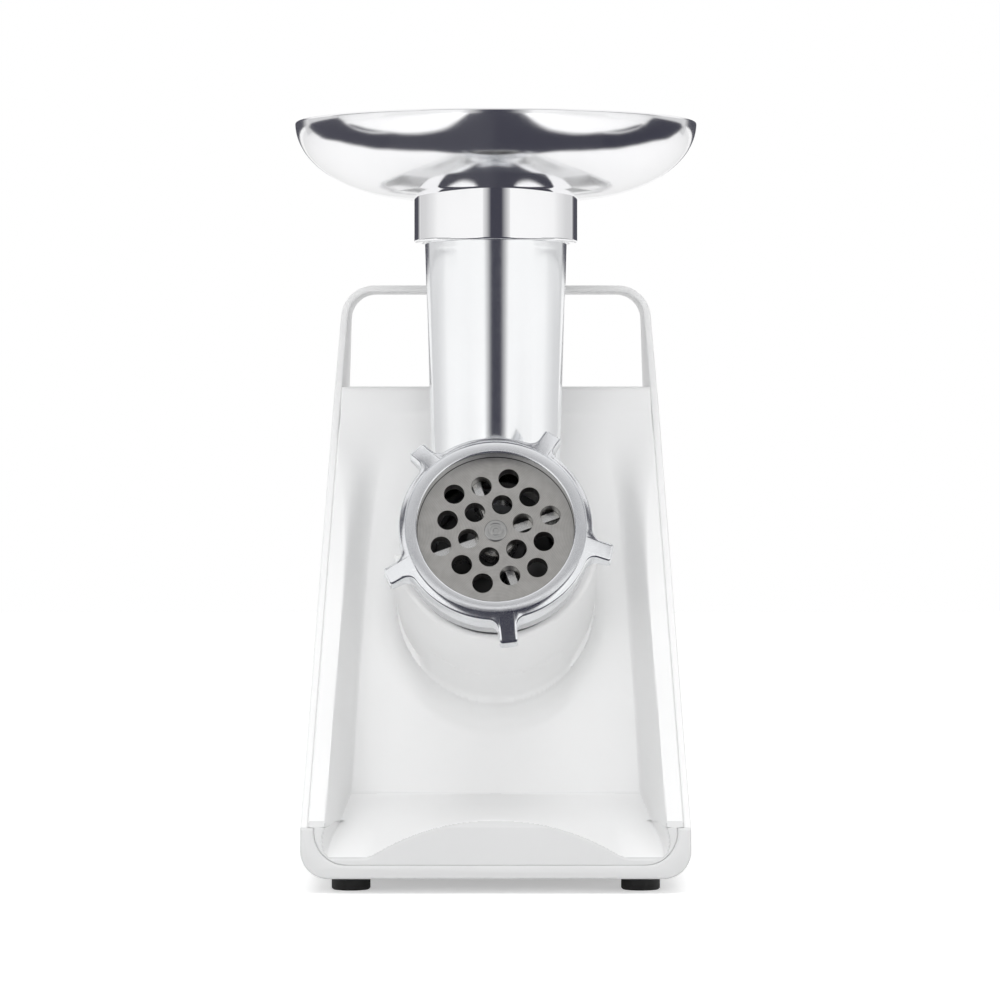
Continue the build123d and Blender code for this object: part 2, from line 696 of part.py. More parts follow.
# ---- ring nut: lip, band, five lugs
NUT_BORE = THREAD_RADIUS + RUN_FIT
LUG_FRONT = NUT_FRONT - NUT_BEVEL
with BuildPart() as ring_nut:
    with BuildSketch(HEAD.offset(LUG_FRONT - LUG_DEPTH)) as lugs:
        Circle(NUT_RADIUS)
        with PolarLocations(LUG_END_RADIUS / 2, LUG_COUNT, start_angle=LUG_TURN):
            Rectangle(LUG_END_RADIUS, LUG_WIDTH)
        fillet(lugs.vertices().filter_by(lambda v: v.center().length < NUT_RADIUS + 1), LUG_ROOT)
        fillet(lugs.vertices().filter_by(lambda v: v.center().length > LUG_END_RADIUS - 1), LUG_TIP)
    extrude(lugs.sketch, amount=LUG_DEPTH)
    turned(
        (0, NUT_REAR),
        (NUT_SKIRT_RADIUS, NUT_REAR),
        (NUT_SKIRT_RADIUS, LUG_FRONT - LUG_DEPTH),
        (NUT_RADIUS, LUG_FRONT),
        (NUT_BAND_RADIUS, NUT_FRONT),
        (0, NUT_FRONT),
    )
    lug_drop = (LUG_END_RADIUS - NUT_RADIUS + 1) * tan(radians(LUG_SLOPE))
    turned(
        (NUT_RADIUS, LUG_FRONT),
        (LUG_END_RADIUS + 1, LUG_FRONT - lug_drop),
        (LUG_END_RADIUS + 1, LUG_FRONT),
        mode=Mode.SUBTRACT,
    )
    disc(NUT_BORE, NUT_REAR - 1, NUT_FRONT - LIP_THICKNESS, mode=Mode.SUBTRACT)
    disc(LIP_RADIUS, NUT_REAR, NUT_FRONT + 1, mode=Mode.SUBTRACT)
keep(ring_nut, "ring_nut")

# ---- tray: a round dish whose collar slips over the feed tube
DISH = Plane((0, TRAY_Y, 0), x_dir=(1, 0, 0), z_dir=(0, 0, 1))
COLLAR_BORE = TUBE_TOP_RADIUS + BODY_GAP
TRAY_SEAT_Z = TUBE_TOP_Z + BODY_GAP


def dish(offset, mode=Mode.ADD):
    """The dish's outer form, or its hollow when offset inwards: a quarter ellipse on a flat."""
    flat, rim = TRAY_FLAT_RADIUS, TRAY_RADIUS - offset
    low, high = TRAY_BOTTOM_Z + offset, TRAY_RIM_Z
    with BuildSketch(profile_plane(DISH)) as outline:
        with BuildLine():
            Line((0, low), (flat, low))
            EllipticalCenterArc((flat, high), rim - flat, high - low, start_angle=270, arc_size=90)
            Line((rim, high), (0, high))
            Line((0, high), (0, low))
        make_face()
    revolve(outline.sketch, axis=axis_of(DISH), mode=mode)


with BuildPart() as hopper_tray:
    dish(0)
    disc(COLLAR_RADIUS, COLLAR_LOW_Z, TRAY_BOTTOM_Z + 4, plane=TUBE)
    dish(TRAY_WALL, mode=Mode.SUBTRACT)
    disc(FEED_RADIUS + FEED_STEP, COLLAR_LOW_Z, TRAY_RIM_Z, plane=TUBE, mode=Mode.SUBTRACT)
    disc(COLLAR_BORE, COLLAR_LOW_Z, TRAY_SEAT_Z, plane=TUBE, mode=Mode.SUBTRACT)
keep(hopper_tray, "hopper_tray")

# ================================================================ drive
DRIVE_PITCH = DRIVE_MODULE * DRIVE_TEETH / 2
SMALL_PITCH = DRIVE_MODULE * SMALL_TEETH / 2
LARGE_PITCH = FAST_MODULE * LARGE_TEETH / 2
PINION_PITCH = FAST_MODULE * PINION_TEETH / 2
MIDDLE_DROP = DRIVE_PITCH + SMALL_PITCH  # intermediate axis below the head's axis
MOTOR_DROP = MIDDLE_DROP - LARGE_PITCH - PINION_PITCH  # motor axis, between the two

DRIVE_HIGH = GEARBOX_FRONT - CASE_WALL - 1.5
DRIVE_LOW = DRIVE_HIGH - DRIVE_FACE
FAST_HIGH = DRIVE_LOW - 1.5
FAST_LOW = FAST_HIGH - FAST_FACE
GEARBOX_REAR = FAST_LOW - 1.5
MOTOR_FACE = GEARBOX_REAR - CASE_WALL


def gear_outline(teeth, module, tooth_at):
    """Straight-sided teeth with free play, drawn with one tooth pointing at an angle."""
    pitch_step = 360 / teeth
    root, tip = module * (teeth / 2 - 1.2), module * (teeth / 2 + 0.95)
    corners = []
    for n in range(teeth):
        at = tooth_at + n * pitch_step
        for radius, side in ((root, -0.27), (tip, -0.1), (tip, 0.1), (root, 0.27)):
            turn = radians(at + side * pitch_step)
            corners.append((radius * cos(turn), radius * sin(turn)))
    return corners


def gear(teeth, module, tooth_at, low, face, drop):
    """One wheel of the train, its face starting low on an axis that lies drop below the head's."""
    centre = HEAD.offset(low).origin - HEAD.y_dir * drop
    prism(Plane(centre, x_dir=HEAD.x_dir, z_dir=HEAD.z_dir), gear_outline(teeth, module, tooth_at), 0, face)


# ---- output gear on the hollow output shaft
with BuildPart() as output_gear:
    gear(DRIVE_TEETH, DRIVE_MODULE, -90, DRIVE_LOW, DRIVE_FACE, 0)
    disc(SHAFT_RADIUS, DRIVE_LOW, DRIVE_HIGH, mode=Mode.SUBTRACT)
    # a web between rim and hub, dished from both sides
    ring(DRIVE_PITCH - 5, SHAFT_RADIUS + 5, DRIVE_HIGH - 3.5, DRIVE_HIGH, mode=Mode.SUBTRACT)
    ring(DRIVE_PITCH - 5, SHAFT_RADIUS + 5, DRIVE_LOW, DRIVE_LOW + 3.5, mode=Mode.SUBTRACT)
keep(output_gear, "output_gear")

with BuildPart() as output_shaft:
    disc(SHAFT_RADIUS, DRIVE_LOW, -BODY_GAP)
    disc(STUB_RADIUS, GEARBOX_REAR - CASE_WALL + 0.5, DRIVE_LOW)
    with BuildSketch(HEAD.offset(-HEX_DEPTH)) as hex_socket:
        RegularPolygon(HEX_FLATS / 2 + 0.15, 6, major_radius=False)
    extrude(hex_socket.sketch, amount=HEX_DEPTH + 1, mode=Mode.SUBTRACT)
keep(output_shaft, "output_shaft")

# ---- auger: hex coupling, journal, core with a screw flight, square and pin
AUGER_SHOULDER = REAR_WALL + BODY_GAP
AUGER_FRONT = KNIFE_REAR
FLIGHT_START = AUGER_SHOULDER + WASHER + FLIGHT_THICKNESS
with BuildPart() as auger_coupling:
    with BuildSketch(HEAD.offset(-HEX_DEPTH)) as tang:
        RegularPolygon(HEX_FLATS / 2, 6, major_radius=False)
    extrude(tang.sketch, amount=HEX_DEPTH)
    chamfer(auger_coupling.faces().sort_by(Axis(HEAD.origin, HEAD.z_dir))[0].edges(), 0.6)
keep(auger_coupling, "auger_coupling")

with BuildPart() as auger_washer:
    ring(JOURNAL_RADIUS + 5, JOURNAL_RADIUS, AUGER_SHOULDER, AUGER_SHOULDER + WASHER)
keep(auger_washer, "auger_washer")

FLIGHT_RADIUS = BORE_RADIUS - 0.7
FLIGHT_ROOT = CORE_RADIUS - 1.0  # the flight starts inside the core
with BuildPart() as flight:
    with BuildLine():
        lead = Helix(
            FLIGHT_PITCH,
            AUGER_FRONT - FLIGHT_START - FLIGHT_THICKNESS,
            (FLIGHT_RADIUS + FLIGHT_ROOT) / 2,
            center=HEAD.offset(FLIGHT_START).origin,
            direction=HEAD.z_dir,
        )
    outward = lead @ 0 - HEAD.offset(FLIGHT_START).origin
    with BuildSketch(Plane(lead @ 0, x_dir=outward, z_dir=lead % 0)) as blade:
        Rectangle(FLIGHT_RADIUS - FLIGHT_ROOT, FLIGHT_THICKNESS)
    sweep(blade.sketch, path=lead, is_frenet=True)

with BuildPart() as auger:
    turned(
        (0, 0),
        (JOURNAL_RADIUS, 0),
        (JOURNAL_RADIUS, AUGER_SHOULDER + WASHER),
        (CORE_RADIUS, AUGER_SHOULDER + WASHER),
        (CORE_RADIUS, AUGER_FRONT),
        (0, AUGER_FRONT),
    )
    with BuildSketch(HEAD.offset(AUGER_FRONT)) as square:
        Rectangle(SQUARE_SIZE, SQUARE_SIZE)
    extrude(square.sketch, amount=KNIFE_THICKNESS)
    disc(PIN_RADIUS, KNIFE_FRONT, PLATE_FRONT + 0.1)
    add(flight.part)
    chamfer(auger.faces().sort_by(Axis(HEAD.origin, HEAD.z_dir))[-1].edges(), 0.4)
keep(auger, "auger")

# ---- cross knife on the auger's square
with BuildPart() as cutter_knife:
    disc(SQUARE_SIZE * 0.95, KNIFE_REAR, KNIFE_FRONT)
    with BuildSketch(HEAD.offset(KNIFE_REAR)) as blades:
        for turn in (0, 90, 180, 270):
            with Locations(Location((0, 0), turn + KNIFE_TURN)):
                with BuildSketch(mode=Mode.PRIVATE) as one_blade:
                    with BuildLine():
                        Polyline(
                            (0, -BLADE_WIDTH / 2),
                            (KNIFE_RADIUS, -BLADE_WIDTH / 2),
                            (KNIFE_RADIUS, BLADE_WIDTH * 0.1),
                            (0, BLADE_WIDTH / 2),
                            close=True,
                        )
                    make_face()
                add(one_blade.sketch)
    extrude(blades.sketch, amount=KNIFE_THICKNESS)
    with BuildSketch(HEAD.offset(KNIFE_REAR)) as knife_hole:
        Rectangle(SQUARE_SIZE, SQUARE_SIZE)
    extrude(knife_hole.sketch, amount=KNIFE_THICKNESS, mode=Mode.SUBTRACT)
keep(cutter_knife, "cutter_knife")

# ---- intermediate gear, a large and a small wheel in one piece, on its own pin
with BuildPart() as intermediate_gear:
    gear(SMALL_TEETH, DRIVE_MODULE, 90 + 180 / SMALL_TEETH, DRIVE_LOW, DRIVE_FACE, MIDDLE_DROP)
    gear(LARGE_TEETH, FAST_MODULE, 90, FAST_LOW, FAST_FACE, MIDDLE_DROP)
    disc(SMALL_PITCH - 1.5 * DRIVE_MODULE, FAST_HIGH, DRIVE_LOW, drop=MIDDLE_DROP)
    disc(PIN_BORE + RUN_FIT, FAST_LOW, DRIVE_HIGH, drop=MIDDLE_DROP, mode=Mode.SUBTRACT)
keep(intermediate_gear, "intermediate_gear")

with BuildPart() as intermediate_pin:
    disc(PIN_BORE, GEARBOX_REAR, DRIVE_HIGH + 1.5, drop=MIDDLE_DROP)
keep(intermediate_pin, "intermediate_pin")


def case_outline(growth):
    """Round the output gear and the large wheel, joined by a waist."""
    Circle(DRIVE_MODULE * (DRIVE_TEETH / 2 + 1) + CASE_PLAY + growth)
    with Locations((0, -MIDDLE_DROP)):
        Circle(FAST_MODULE * (LARGE_TEETH / 2 + 1) + CASE_PLAY + growth)
    make_hull()


with BuildPart() as gearbox_case:
    with BuildSketch(HEAD.offset(GEARBOX_REAR)) as case_shape:
        case_outline(CASE_WALL)
    extrude(case_shape.sketch, amount=GEARBOX_FRONT - GEARBOX_REAR)
    with BuildSketch(HEAD.offset(GEARBOX_REAR)) as case_hollow:
        case_outline(0)
    extrude(case_hollow.sketch, amount=GEARBOX_FRONT - CASE_WALL - GEARBOX_REAR, mode=Mode.SUBTRACT)
    disc(SHAFT_RADIUS + BUSH_WALL, GEARBOX_REAR, 0, mode=Mode.SUBTRACT)
    with BuildSketch(HEAD.offset(GEARBOX_FRONT - CASE_WALL)) as case_fixings:
        with PolarLocations(SOCKET_SCREW_CIRCLE, 4, start_angle=45):
            Circle(SOCKET_SCREW_RADIUS)
    extrude(case_fixings.sketch, amount=CASE_WALL, mode=Mode.SUBTRACT)
keep(gearbox_case, "gearbox_case")

with BuildPart() as output_bush:
    ring(SHAFT_RADIUS + BUSH_WALL, SHAFT_RADIUS + RUN_FIT, DRIVE_HIGH + 0.5, -1)
    ring(SHAFT_RADIUS + BUSH_WALL + 1.2, SHAFT_RADIUS + RUN_FIT, DRIVE_HIGH + 0.5, GEARBOX_FRONT - CASE_WALL)
keep(output_bush, "output_bush")

with BuildPart() as gearbox_cover:
    with BuildSketch(HEAD.offset(MOTOR_FACE)) as cover_shape:
        case_outline(CASE_WALL)
    extrude(cover_shape.sketch, amount=CASE_WALL)
    disc(STUB_RADIUS + RUN_FIT, MOTOR_FACE, GEARBOX_REAR, mode=Mode.SUBTRACT)
    disc(MOTOR_BEARING_RADIUS, MOTOR_FACE, GEARBOX_REAR, drop=MOTOR_DROP, mode=Mode.SUBTRACT)
keep(gearbox_cover, "gearbox_cover")

with BuildPart() as gearbox_screws:
    with BuildSketch(HEAD.offset(GEARBOX_FRONT - CASE_WALL)) as fixing_heads:
        with PolarLocations(SOCKET_SCREW_CIRCLE, 4, start_angle=45):
            Circle(SOCKET_SCREW_RADIUS + 1.3)
    extrude(fixing_heads.sketch, amount=-1.2)
    with BuildSketch(HEAD.offset(GEARBOX_FRONT - CASE_WALL)) as fixing_shanks:
        with PolarLocations(SOCKET_SCREW_CIRCLE, 4, start_angle=45):
            Circle(SOCKET_SCREW_RADIUS)
    extrude(fixing_shanks.sketch, amount=SOCKET_SEAT - GEARBOX_FRONT + CASE_WALL)
keep(gearbox_screws, "gearbox_screws")

# ================================================================ motor
STACK_FRONT = MOTOR_FACE - 8.0
STACK_REAR = STACK_FRONT - STACK_LENGTH
BRUSH_W = STACK_REAR - BRUSH_SPACE / 2
REAR_BRACKET = STACK_REAR - BRUSH_SPACE
FAN_FRONT = REAR_BRACKET - 2.0
FAN_REAR = FAN_FRONT - FAN_DEPTH
MOTOR_REAR = FAN_REAR - 1.0


def motor_disc(radius, low, high, mode=Mode.ADD):
    disc(radius, low, high, drop=MOTOR_DROP, mode=mode)


def motor_ring(outer, inner, low, high, mode=Mode.ADD):
    ring(outer, inner, low, high, drop=MOTOR_DROP, mode=mode)


def motor_plane(distance):
    return Plane(
        HEAD.offset(distance).origin - HEAD.y_dir * MOTOR_DROP, x_dir=HEAD.x_dir, z_dir=HEAD.z_dir
    )


with BuildPart() as motor_stator:
    with BuildSketch(motor_plane(STACK_REAR)) as stack:
        Circle(MOTOR_RADIUS)
        Rectangle(2 * MOTOR_RADIUS - LAMINATION, 2 * MOTOR_RADIUS, mode=Mode.INTERSECT)
        Circle(MOTOR_RADIUS - LAMINATION, mode=Mode.SUBTRACT)
        # two pole shoes
        with Locations((0, ROTOR_RADIUS + 5), (0, -ROTOR_RADIUS - 5)):
            Rectangle(20, 2 * LAMINATION)
        Circle(ROTOR_RADIUS + AIR_GAP, mode=Mode.SUBTRACT)
    extrude(stack.sketch, amount=STACK_LENGTH)
keep(motor_stator, "motor_stator")

with BuildPart() as field_coils:
    for low in (STACK_REAR - 4, STACK_FRONT):
        motor_ring(MOTOR_RADIUS - LAMINATION - 0.5, ROTOR_RADIUS + 1.5, low, low + 4)
keep(field_coils, "field_coils")

for name, plate_low, leg_low, leg_high in (
    ("motor_front_bracket", MOTOR_FACE - BRACKET, STACK_FRONT, MOTOR_FACE - BRACKET),
    ("motor_rear_bracket", REAR_BRACKET, REAR_BRACKET + BRACKET, STACK_REAR),
):
    with BuildPart() as bracket:
        motor_ring(MOTOR_RADIUS, MOTOR_BEARING_RADIUS, plate_low, plate_low + BRACKET)
        with BuildSketch(motor_plane(leg_low)) as leg_section:
            Circle(MOTOR_RADIUS)
            Rectangle(14, 2 * MOTOR_RADIUS, mode=Mode.INTERSECT)
            Circle(MOTOR_RADIUS - LAMINATION + 1.5, mode=Mode.SUBTRACT)
        extrude(leg_section.sketch, amount=leg_high - leg_low)
    keep(bracket, name)

with BuildPart() as motor_bearings:
    for low in (MOTOR_FACE - BRACKET, REAR_BRACKET):
        motor_ring(MOTOR_BEARING_RADIUS, MOTOR_SHAFT_RADIUS + RUN_FIT, low, low + BEARING_WIDTH)
keep(motor_bearings, "motor_bearings")

with BuildPart() as motor_shaft:
    motor_disc(MOTOR_SHAFT_RADIUS, MOTOR_REAR, FAST_LOW)
    motor_disc(PINION_PITCH - 1.3 * FAST_MODULE, FAST_LOW, FAST_HIGH)
keep(motor_shaft, "motor_shaft")

with BuildPart() as motor_pinion:
    gear(PINION_TEETH, FAST_MODULE, -90 + 180 / PINION_TEETH, FAST_LOW, FAST_FACE, MOTOR_DROP)
    motor_disc(PINION_PITCH - 1.3 * FAST_MODULE, FAST_LOW, FAST_HIGH, mode=Mode.SUBTRACT)
keep(motor_pinion, "motor_pinion")

with BuildPart() as armature:
    motor_disc(ROTOR_RADIUS, STACK_REAR, STACK_FRONT)
    with BuildSketch(motor_plane(STACK_REAR)) as slots:
        with PolarLocations(ROTOR_RADIUS, 10):
            Rectangle(3, 1.6)
    extrude(slots.sketch, amount=STACK_LENGTH, mode=Mode.SUBTRACT)
    motor_disc(ROTOR_RADIUS - 3, STACK_REAR - 4, STACK_FRONT + 3)
    motor_disc(MOTOR_SHAFT_RADIUS, REAR_BRACKET, STACK_FRONT + 4, mode=Mode.SUBTRACT)
keep(armature, "armature")

with BuildPart() as commutator:
    motor_ring(COMMUTATOR_RADIUS, MOTOR_SHAFT_RADIUS, BRUSH_W - 5, BRUSH_W + 5)
keep(commutator, "commutator")

with BuildPart() as brush_holders:
    for side in (-1, 1):
        brush_end = motor_plane(BRUSH_W).origin + HEAD.x_dir * side * (COMMUTATOR_RADIUS + BODY_GAP)
        with BuildSketch(Plane(brush_end, x_dir=HEAD.y_dir, z_dir=HEAD.x_dir * side)) as holder:
            Rectangle(7, 6)
        extrude(holder.sketch, amount=MOTOR_RADIUS - COMMUTATOR_RADIUS - 2)
        # the arm that carries the holder on the rear bracket
        arm_x = side * (MOTOR_RADIUS - 6)
        with BuildSketch(motor_plane(REAR_BRACKET + BRACKET)) as arm:
            with Locations((arm_x, 0)):
                Rectangle(5, 7)
        extrude(arm.sketch, amount=BRUSH_W - 3 - REAR_BRACKET - BRACKET)
keep(brush_holders, "brush_holders")

with BuildPart() as motor_fan:
    motor_ring(7, MOTOR_SHAFT_RADIUS, FAN_REAR, FAN_FRONT)
    motor_ring(FAN_RADIUS, MOTOR_SHAFT_RADIUS, FAN_FRONT - 1.2, FAN_FRONT)
    with BuildSketch(motor_plane(FAN_REAR)) as fan_blades:
        with PolarLocations(FAN_RADIUS / 2 + 3, 9):
            Rectangle(FAN_RADIUS - 6, 1.2)
    extrude(fan_blades.sketch, amount=FAN_DEPTH - 1)
keep(motor_fan, "motor_fan")

# ================================================================ controls
# ---- head lock: button, stem and tongue, in a guide under the top
CASE_RADIUS = DRIVE_MODULE * (DRIVE_TEETH / 2 + 1) + CASE_PLAY + CASE_WALL
CASE_TOP_Z = HEAD_Z - (BUTTON_Y - STEM_RADIUS - HEAD_Y) * tan(radians(TILT)) + CASE_RADIUS / COS
STEM_LOW_Z = CASE_TOP_Z + BUTTON_TRAVEL + 2 * BODY_GAP
with BuildPart() as lock_button:
    top = Plane((0, BUTTON_Y, TOP_Z), x_dir=(1, 0, 0), z_dir=(0, 0, 1))
    turned(
        (0, -BUTTON_SKIRT),
        (BUTTON_RADIUS, -BUTTON_SKIRT),
        (BUTTON_RADIUS, BUTTON_RISE - 1.5),
        (BUTTON_RADIUS - 1.5, BUTTON_RISE),
        (0, BUTTON_RISE),
        plane=top,
    )
    disc(STEM_RADIUS, STEM_LOW_Z - TOP_Z, -BUTTON_SKIRT, plane=top)
keep(lock_button, "lock_button")

GUIDE_LOW = -BUTTON_SKIRT - BUTTON_TRAVEL - 8.0 - GUIDE_LENGTH / 2
with BuildPart() as lock_guide:
    ring(STEM_RADIUS + 2.2, STEM_RADIUS + RUN_FIT, GUIDE_LOW, GUIDE_LOW + GUIDE_LENGTH / 2, plane=top)
    ring(BUTTON_RADIUS + 3, STEM_RADIUS + 2.2, GUIDE_LOW, GUIDE_LOW + 2, plane=top)
    ring(BUTTON_RADIUS + 3, BUTTON_RADIUS + BODY_GAP + 0.3, GUIDE_LOW + 2, -WALL, plane=top)
keep(lock_guide, "lock_guide")

SPRING_LOW = GUIDE_LOW + GUIDE_LENGTH / 2
with BuildPart() as lock_spring:
    spring_height = -BUTTON_SKIRT - SPRING_LOW - 2 * WIRE - 0.2
    with BuildLine(top.offset(SPRING_LOW + WIRE + 0.1)):
        coil = Helix(spring_height / 3, spring_height, STEM_RADIUS + 1.4)
    with BuildSketch(Plane(coil @ 0, x_dir=(1, 0, 0), z_dir=coil % 0)) as wire:
        RegularPolygon(WIRE, 6)
    sweep(wire.sketch, path=coil, is_frenet=True)
keep(lock_spring, "lock_spring")

# ---- rocker switch in the rear cover
rocker_centre = rear_wall.origin - rear_wall.z_dir * ROCKER_DEPTH
rocker_plane = Plane(rocker_centre, x_dir=rear_wall.y_dir, z_dir=rear_wall.x_dir)
with BuildPart() as switch_body:
    with BuildSketch(rear_wall) as bezel:
        RectangleRounded(SWITCH_WIDTH + 9, SWITCH_HEIGHT + 9, 2.5)
        Rectangle(SWITCH_WIDTH + 2 * BODY_GAP, SWITCH_HEIGHT + 2 * BODY_GAP, mode=Mode.SUBTRACT)
    extrude(bezel.sketch, amount=1.4)
    with BuildSketch(rear_wall) as switch_case:
        Rectangle(SWITCH_WIDTH + 5, SWITCH_HEIGHT + 5)
    extrude(switch_case.sketch, amount=-16)
    with BuildSketch(rear_wall) as switch_well:
        Rectangle(SWITCH_WIDTH + 2 * BODY_GAP, SWITCH_HEIGHT + 2 * BODY_GAP)
    extrude(switch_well.sketch, amount=-12, mode=Mode.SUBTRACT)
    # the rocker's pin
    with BuildSketch(rocker_plane) as rocker_pin:
        Circle(ROCKER_PIN_RADIUS)
    extrude(rocker_pin.sketch, amount=SWITCH_WIDTH / 2 + 1, both=True)
keep(switch_body, "switch_body")

with BuildPart() as power_switch:
    with BuildSketch(rocker_plane.offset(-SWITCH_WIDTH / 2)) as rocker_shape:
        with BuildLine():
            Polyline(
                (-ROCKER_HALF, 1.5),
                (-3.2, -3.2),
                (3.2, -3.2),
                (ROCKER_HALF, 1.5),
                (ROCKER_HALF, ROCKER_DEPTH + 2.2),
                (0, ROCKER_DEPTH + 0.8),
                (-ROCKER_HALF, ROCKER_DEPTH + 2.2),
                close=True,
            )
        make_face()
        Circle(ROCKER_PIN_RADIUS + RUN_FIT, mode=Mode.SUBTRACT)
    extrude(rocker_shape.sketch, amount=SWITCH_WIDTH)
power_switch.part = power_switch.part.rotate(axis_of(rocker_plane), ROCKER_ANGLE)
keep(power_switch, "power_switch")

# ---- cord inlet: a grommet in the rear wall
with BuildPart() as cord_inlet:
    ring(INLET_RADIUS, CORD_RADIUS, -WALL, 0, plane=inlet)
    ring(INLET_RADIUS + 2.5, CORD_RADIUS, 0, 3.0, plane=inlet)
    ring(INLET_RADIUS + 1.5, CORD_RADIUS, -WALL - 2.0, -WALL, plane=inlet)
keep(cord_inlet, "cord_inlet")
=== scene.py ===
"""Visual model of an electric meat grinder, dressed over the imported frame.

The object's lengths are in millimetres until MM turns them into metres.
The camera, the lighting cards and the lamps are placed in metres.
"""

import json
import math

import bmesh
import bpy
import numpy as np
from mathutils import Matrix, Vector


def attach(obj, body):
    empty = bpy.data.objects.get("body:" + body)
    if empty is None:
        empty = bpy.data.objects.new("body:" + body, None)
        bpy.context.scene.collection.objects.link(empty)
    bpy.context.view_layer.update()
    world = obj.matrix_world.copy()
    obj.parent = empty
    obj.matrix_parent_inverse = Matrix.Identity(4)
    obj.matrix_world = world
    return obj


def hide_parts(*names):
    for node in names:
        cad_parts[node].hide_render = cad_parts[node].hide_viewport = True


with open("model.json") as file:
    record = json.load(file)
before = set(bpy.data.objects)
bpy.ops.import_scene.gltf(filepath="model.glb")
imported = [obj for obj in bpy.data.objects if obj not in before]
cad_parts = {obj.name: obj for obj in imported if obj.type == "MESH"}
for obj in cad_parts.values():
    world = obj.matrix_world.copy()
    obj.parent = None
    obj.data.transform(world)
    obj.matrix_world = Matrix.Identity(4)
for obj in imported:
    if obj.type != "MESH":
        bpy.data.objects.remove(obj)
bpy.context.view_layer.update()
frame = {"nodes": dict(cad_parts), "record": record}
NODES = frame["nodes"]
MM = 0.001

# ---------------------------------------------------------------- the source's driving sizes
# grinding head; its own axes run out along the barrel and up across it
TILT = math.radians(21.0)
HEAD_ORIGIN = Vector((0, -18.6, 102.7))
HEAD_OUT = Vector((0, -math.cos(TILT), math.sin(TILT)))
HEAD_UP = Vector((0, math.sin(TILT), math.cos(TILT)))
PLATE_FRONT = 95.0
PLATE_THICKNESS = 5.0
PIN_RADIUS = 4.2
KNIFE_TURN = 20.0

# ring nut
NUT_FRONT = 100.0
NUT_REAR = 80.5
NUT_BAND_RADIUS = 33.6
NUT_RADIUS = 36.0
NUT_SKIRT_RADIUS = 35.2
NUT_BORE = 33.78
NUT_BEVEL = 1.6
LIP_RADIUS = 29.2
LIP_THICKNESS = 4.7
LUG_COUNT = 5
LUG_END_RADIUS = 44.2
LUG_WIDTH = 6.9
LUG_DEPTH = 9.4
LUG_TURN = math.radians(-11.5)
LUG_ROOT = 4.0
LUG_TIP = 1.2
LUG_SLOPE = math.tan(math.radians(20.0))

# tray and its collar on the feed tube
TUBE_Y = -54.5
TRAY_Y = -40.0
TRAY_RADIUS = 77.4
TRAY_FLAT_RADIUS = 46.0
TRAY_BOTTOM_Z = 264.4
TRAY_RIM_Z = 293.0
TRAY_WALL = 1.4
TRAY_HOLE_RADIUS = 23.2
TRAY_SEAT_Z = 261.7
COLLAR_RADIUS = 31.2
COLLAR_LOW_Z = 246.0
COLLAR_BORE = 27.9

# housing
SEAM_Z = 25.0
FRONT_SEAM_Z = 11.0
TOP_Z = 192.0
FOOT_HEIGHT = 5.6
BASE_HALF_WIDTH = 73.5
TOP_HALF_WIDTH = 63.6
SIDE_TAPER = (BASE_HALF_WIDTH - TOP_HALF_WIDTH) / (TOP_Z - SEAM_Z)
BASE_FRONT_Y = -91.0
BASE_WALL = 5.2
BASE_CORNER = 10.5
REAR_Y = 123.999
TOP_REAR_Y = 90.0
SPLIT_Y = 34.0
RIM_Y = -90.0
RIM_LEAN = math.radians(27.3)
RIM_SLOPE = math.tan(RIM_LEAN)
FRAME_THICKNESS = 2.8
HOOP_TOP_Z = 233.2
HOOP_CORNER = 13.0
HOOP_FRONT_Y = 30.0
HOOP_REAR_Y = 54.0

# niche in the housing's front, with the low hump before it
PANEL_Y = -30.0
PANEL_SLOPE = math.tan(math.radians(8.0))
FLOOR_Z = 33.0
FLOOR_SLOPE = 22.0 / 67.0
NICHE_HALF_WIDTH = 56.8
NICHE_MOUTH_HALF_WIDTH = 64.2
NICHE_TAPER = math.tan(math.radians(3.3))
NICHE_TOP_Z = 181.0
MOUTH_CORNER = 12.0
HUMP_Z = 27.6
HUMP_EDGE_Z = 11.6
HUMP_HALF_WIDTH = 50.0

# boss round the barrel's socket, and the cradle below the barrel
BOSS_RADIUS = 38.7
BOSS_RISE = 4.5
BOSS_FACE = 22.0
SOCKET_RADIUS = 31.5
CRADLE_FRONT = 70.0


def half_width(z):
    return BASE_HALF_WIDTH - (z - SEAM_Z) * SIDE_TAPER


def rear_y(z):
    return REAR_Y - (z - FRONT_SEAM_Z) * (REAR_Y - TOP_REAR_Y) / (TOP_Z - FRONT_SEAM_Z)


def rim_y(z):
    return RIM_Y + (z - SEAM_Z) * RIM_SLOPE


def panel_y(z):
    return PANEL_Y + (z - FLOOR_Z) * PANEL_SLOPE


def head_point(x, up, out):
    """A point given along the grinding head's own axes."""
    return HEAD_ORIGIN + Vector((x, 0, 0)) + HEAD_UP * up + HEAD_OUT * out


# ---------------------------------------------------------------- camera
CAMERA_POINT = Vector((0.0016, -1.762, 0.163))
CAMERA_PITCH = 0.514  # degrees below the horizontal
CAMERA_LENS = 160.4

camera_data = bpy.data.cameras.new("camera")
camera_data.sensor_width = 36.0
camera_data.lens = CAMERA_LENS
camera_data.clip_end = 50.0
camera = bpy.data.objects.new("camera", camera_data)
camera.location = CAMERA_POINT
camera.rotation_euler = (math.radians(90.0 - CAMERA_PITCH), 0.0, 0.0)
bpy.context.scene.collection.objects.link(camera)
bpy.context.scene.camera = camera
bpy.context.scene.view_settings.view_transform = "Standard"


# ---------------------------------------------------------------- mesh helpers
def arc(start, end, steps):
    """(cosine, sine) pairs from one angle to another, in degrees."""
    turns = [math.radians(start + (end - start) * k / steps) for k in range(steps + 1)]
    return [(math.cos(turn), math.sin(turn)) for turn in turns]


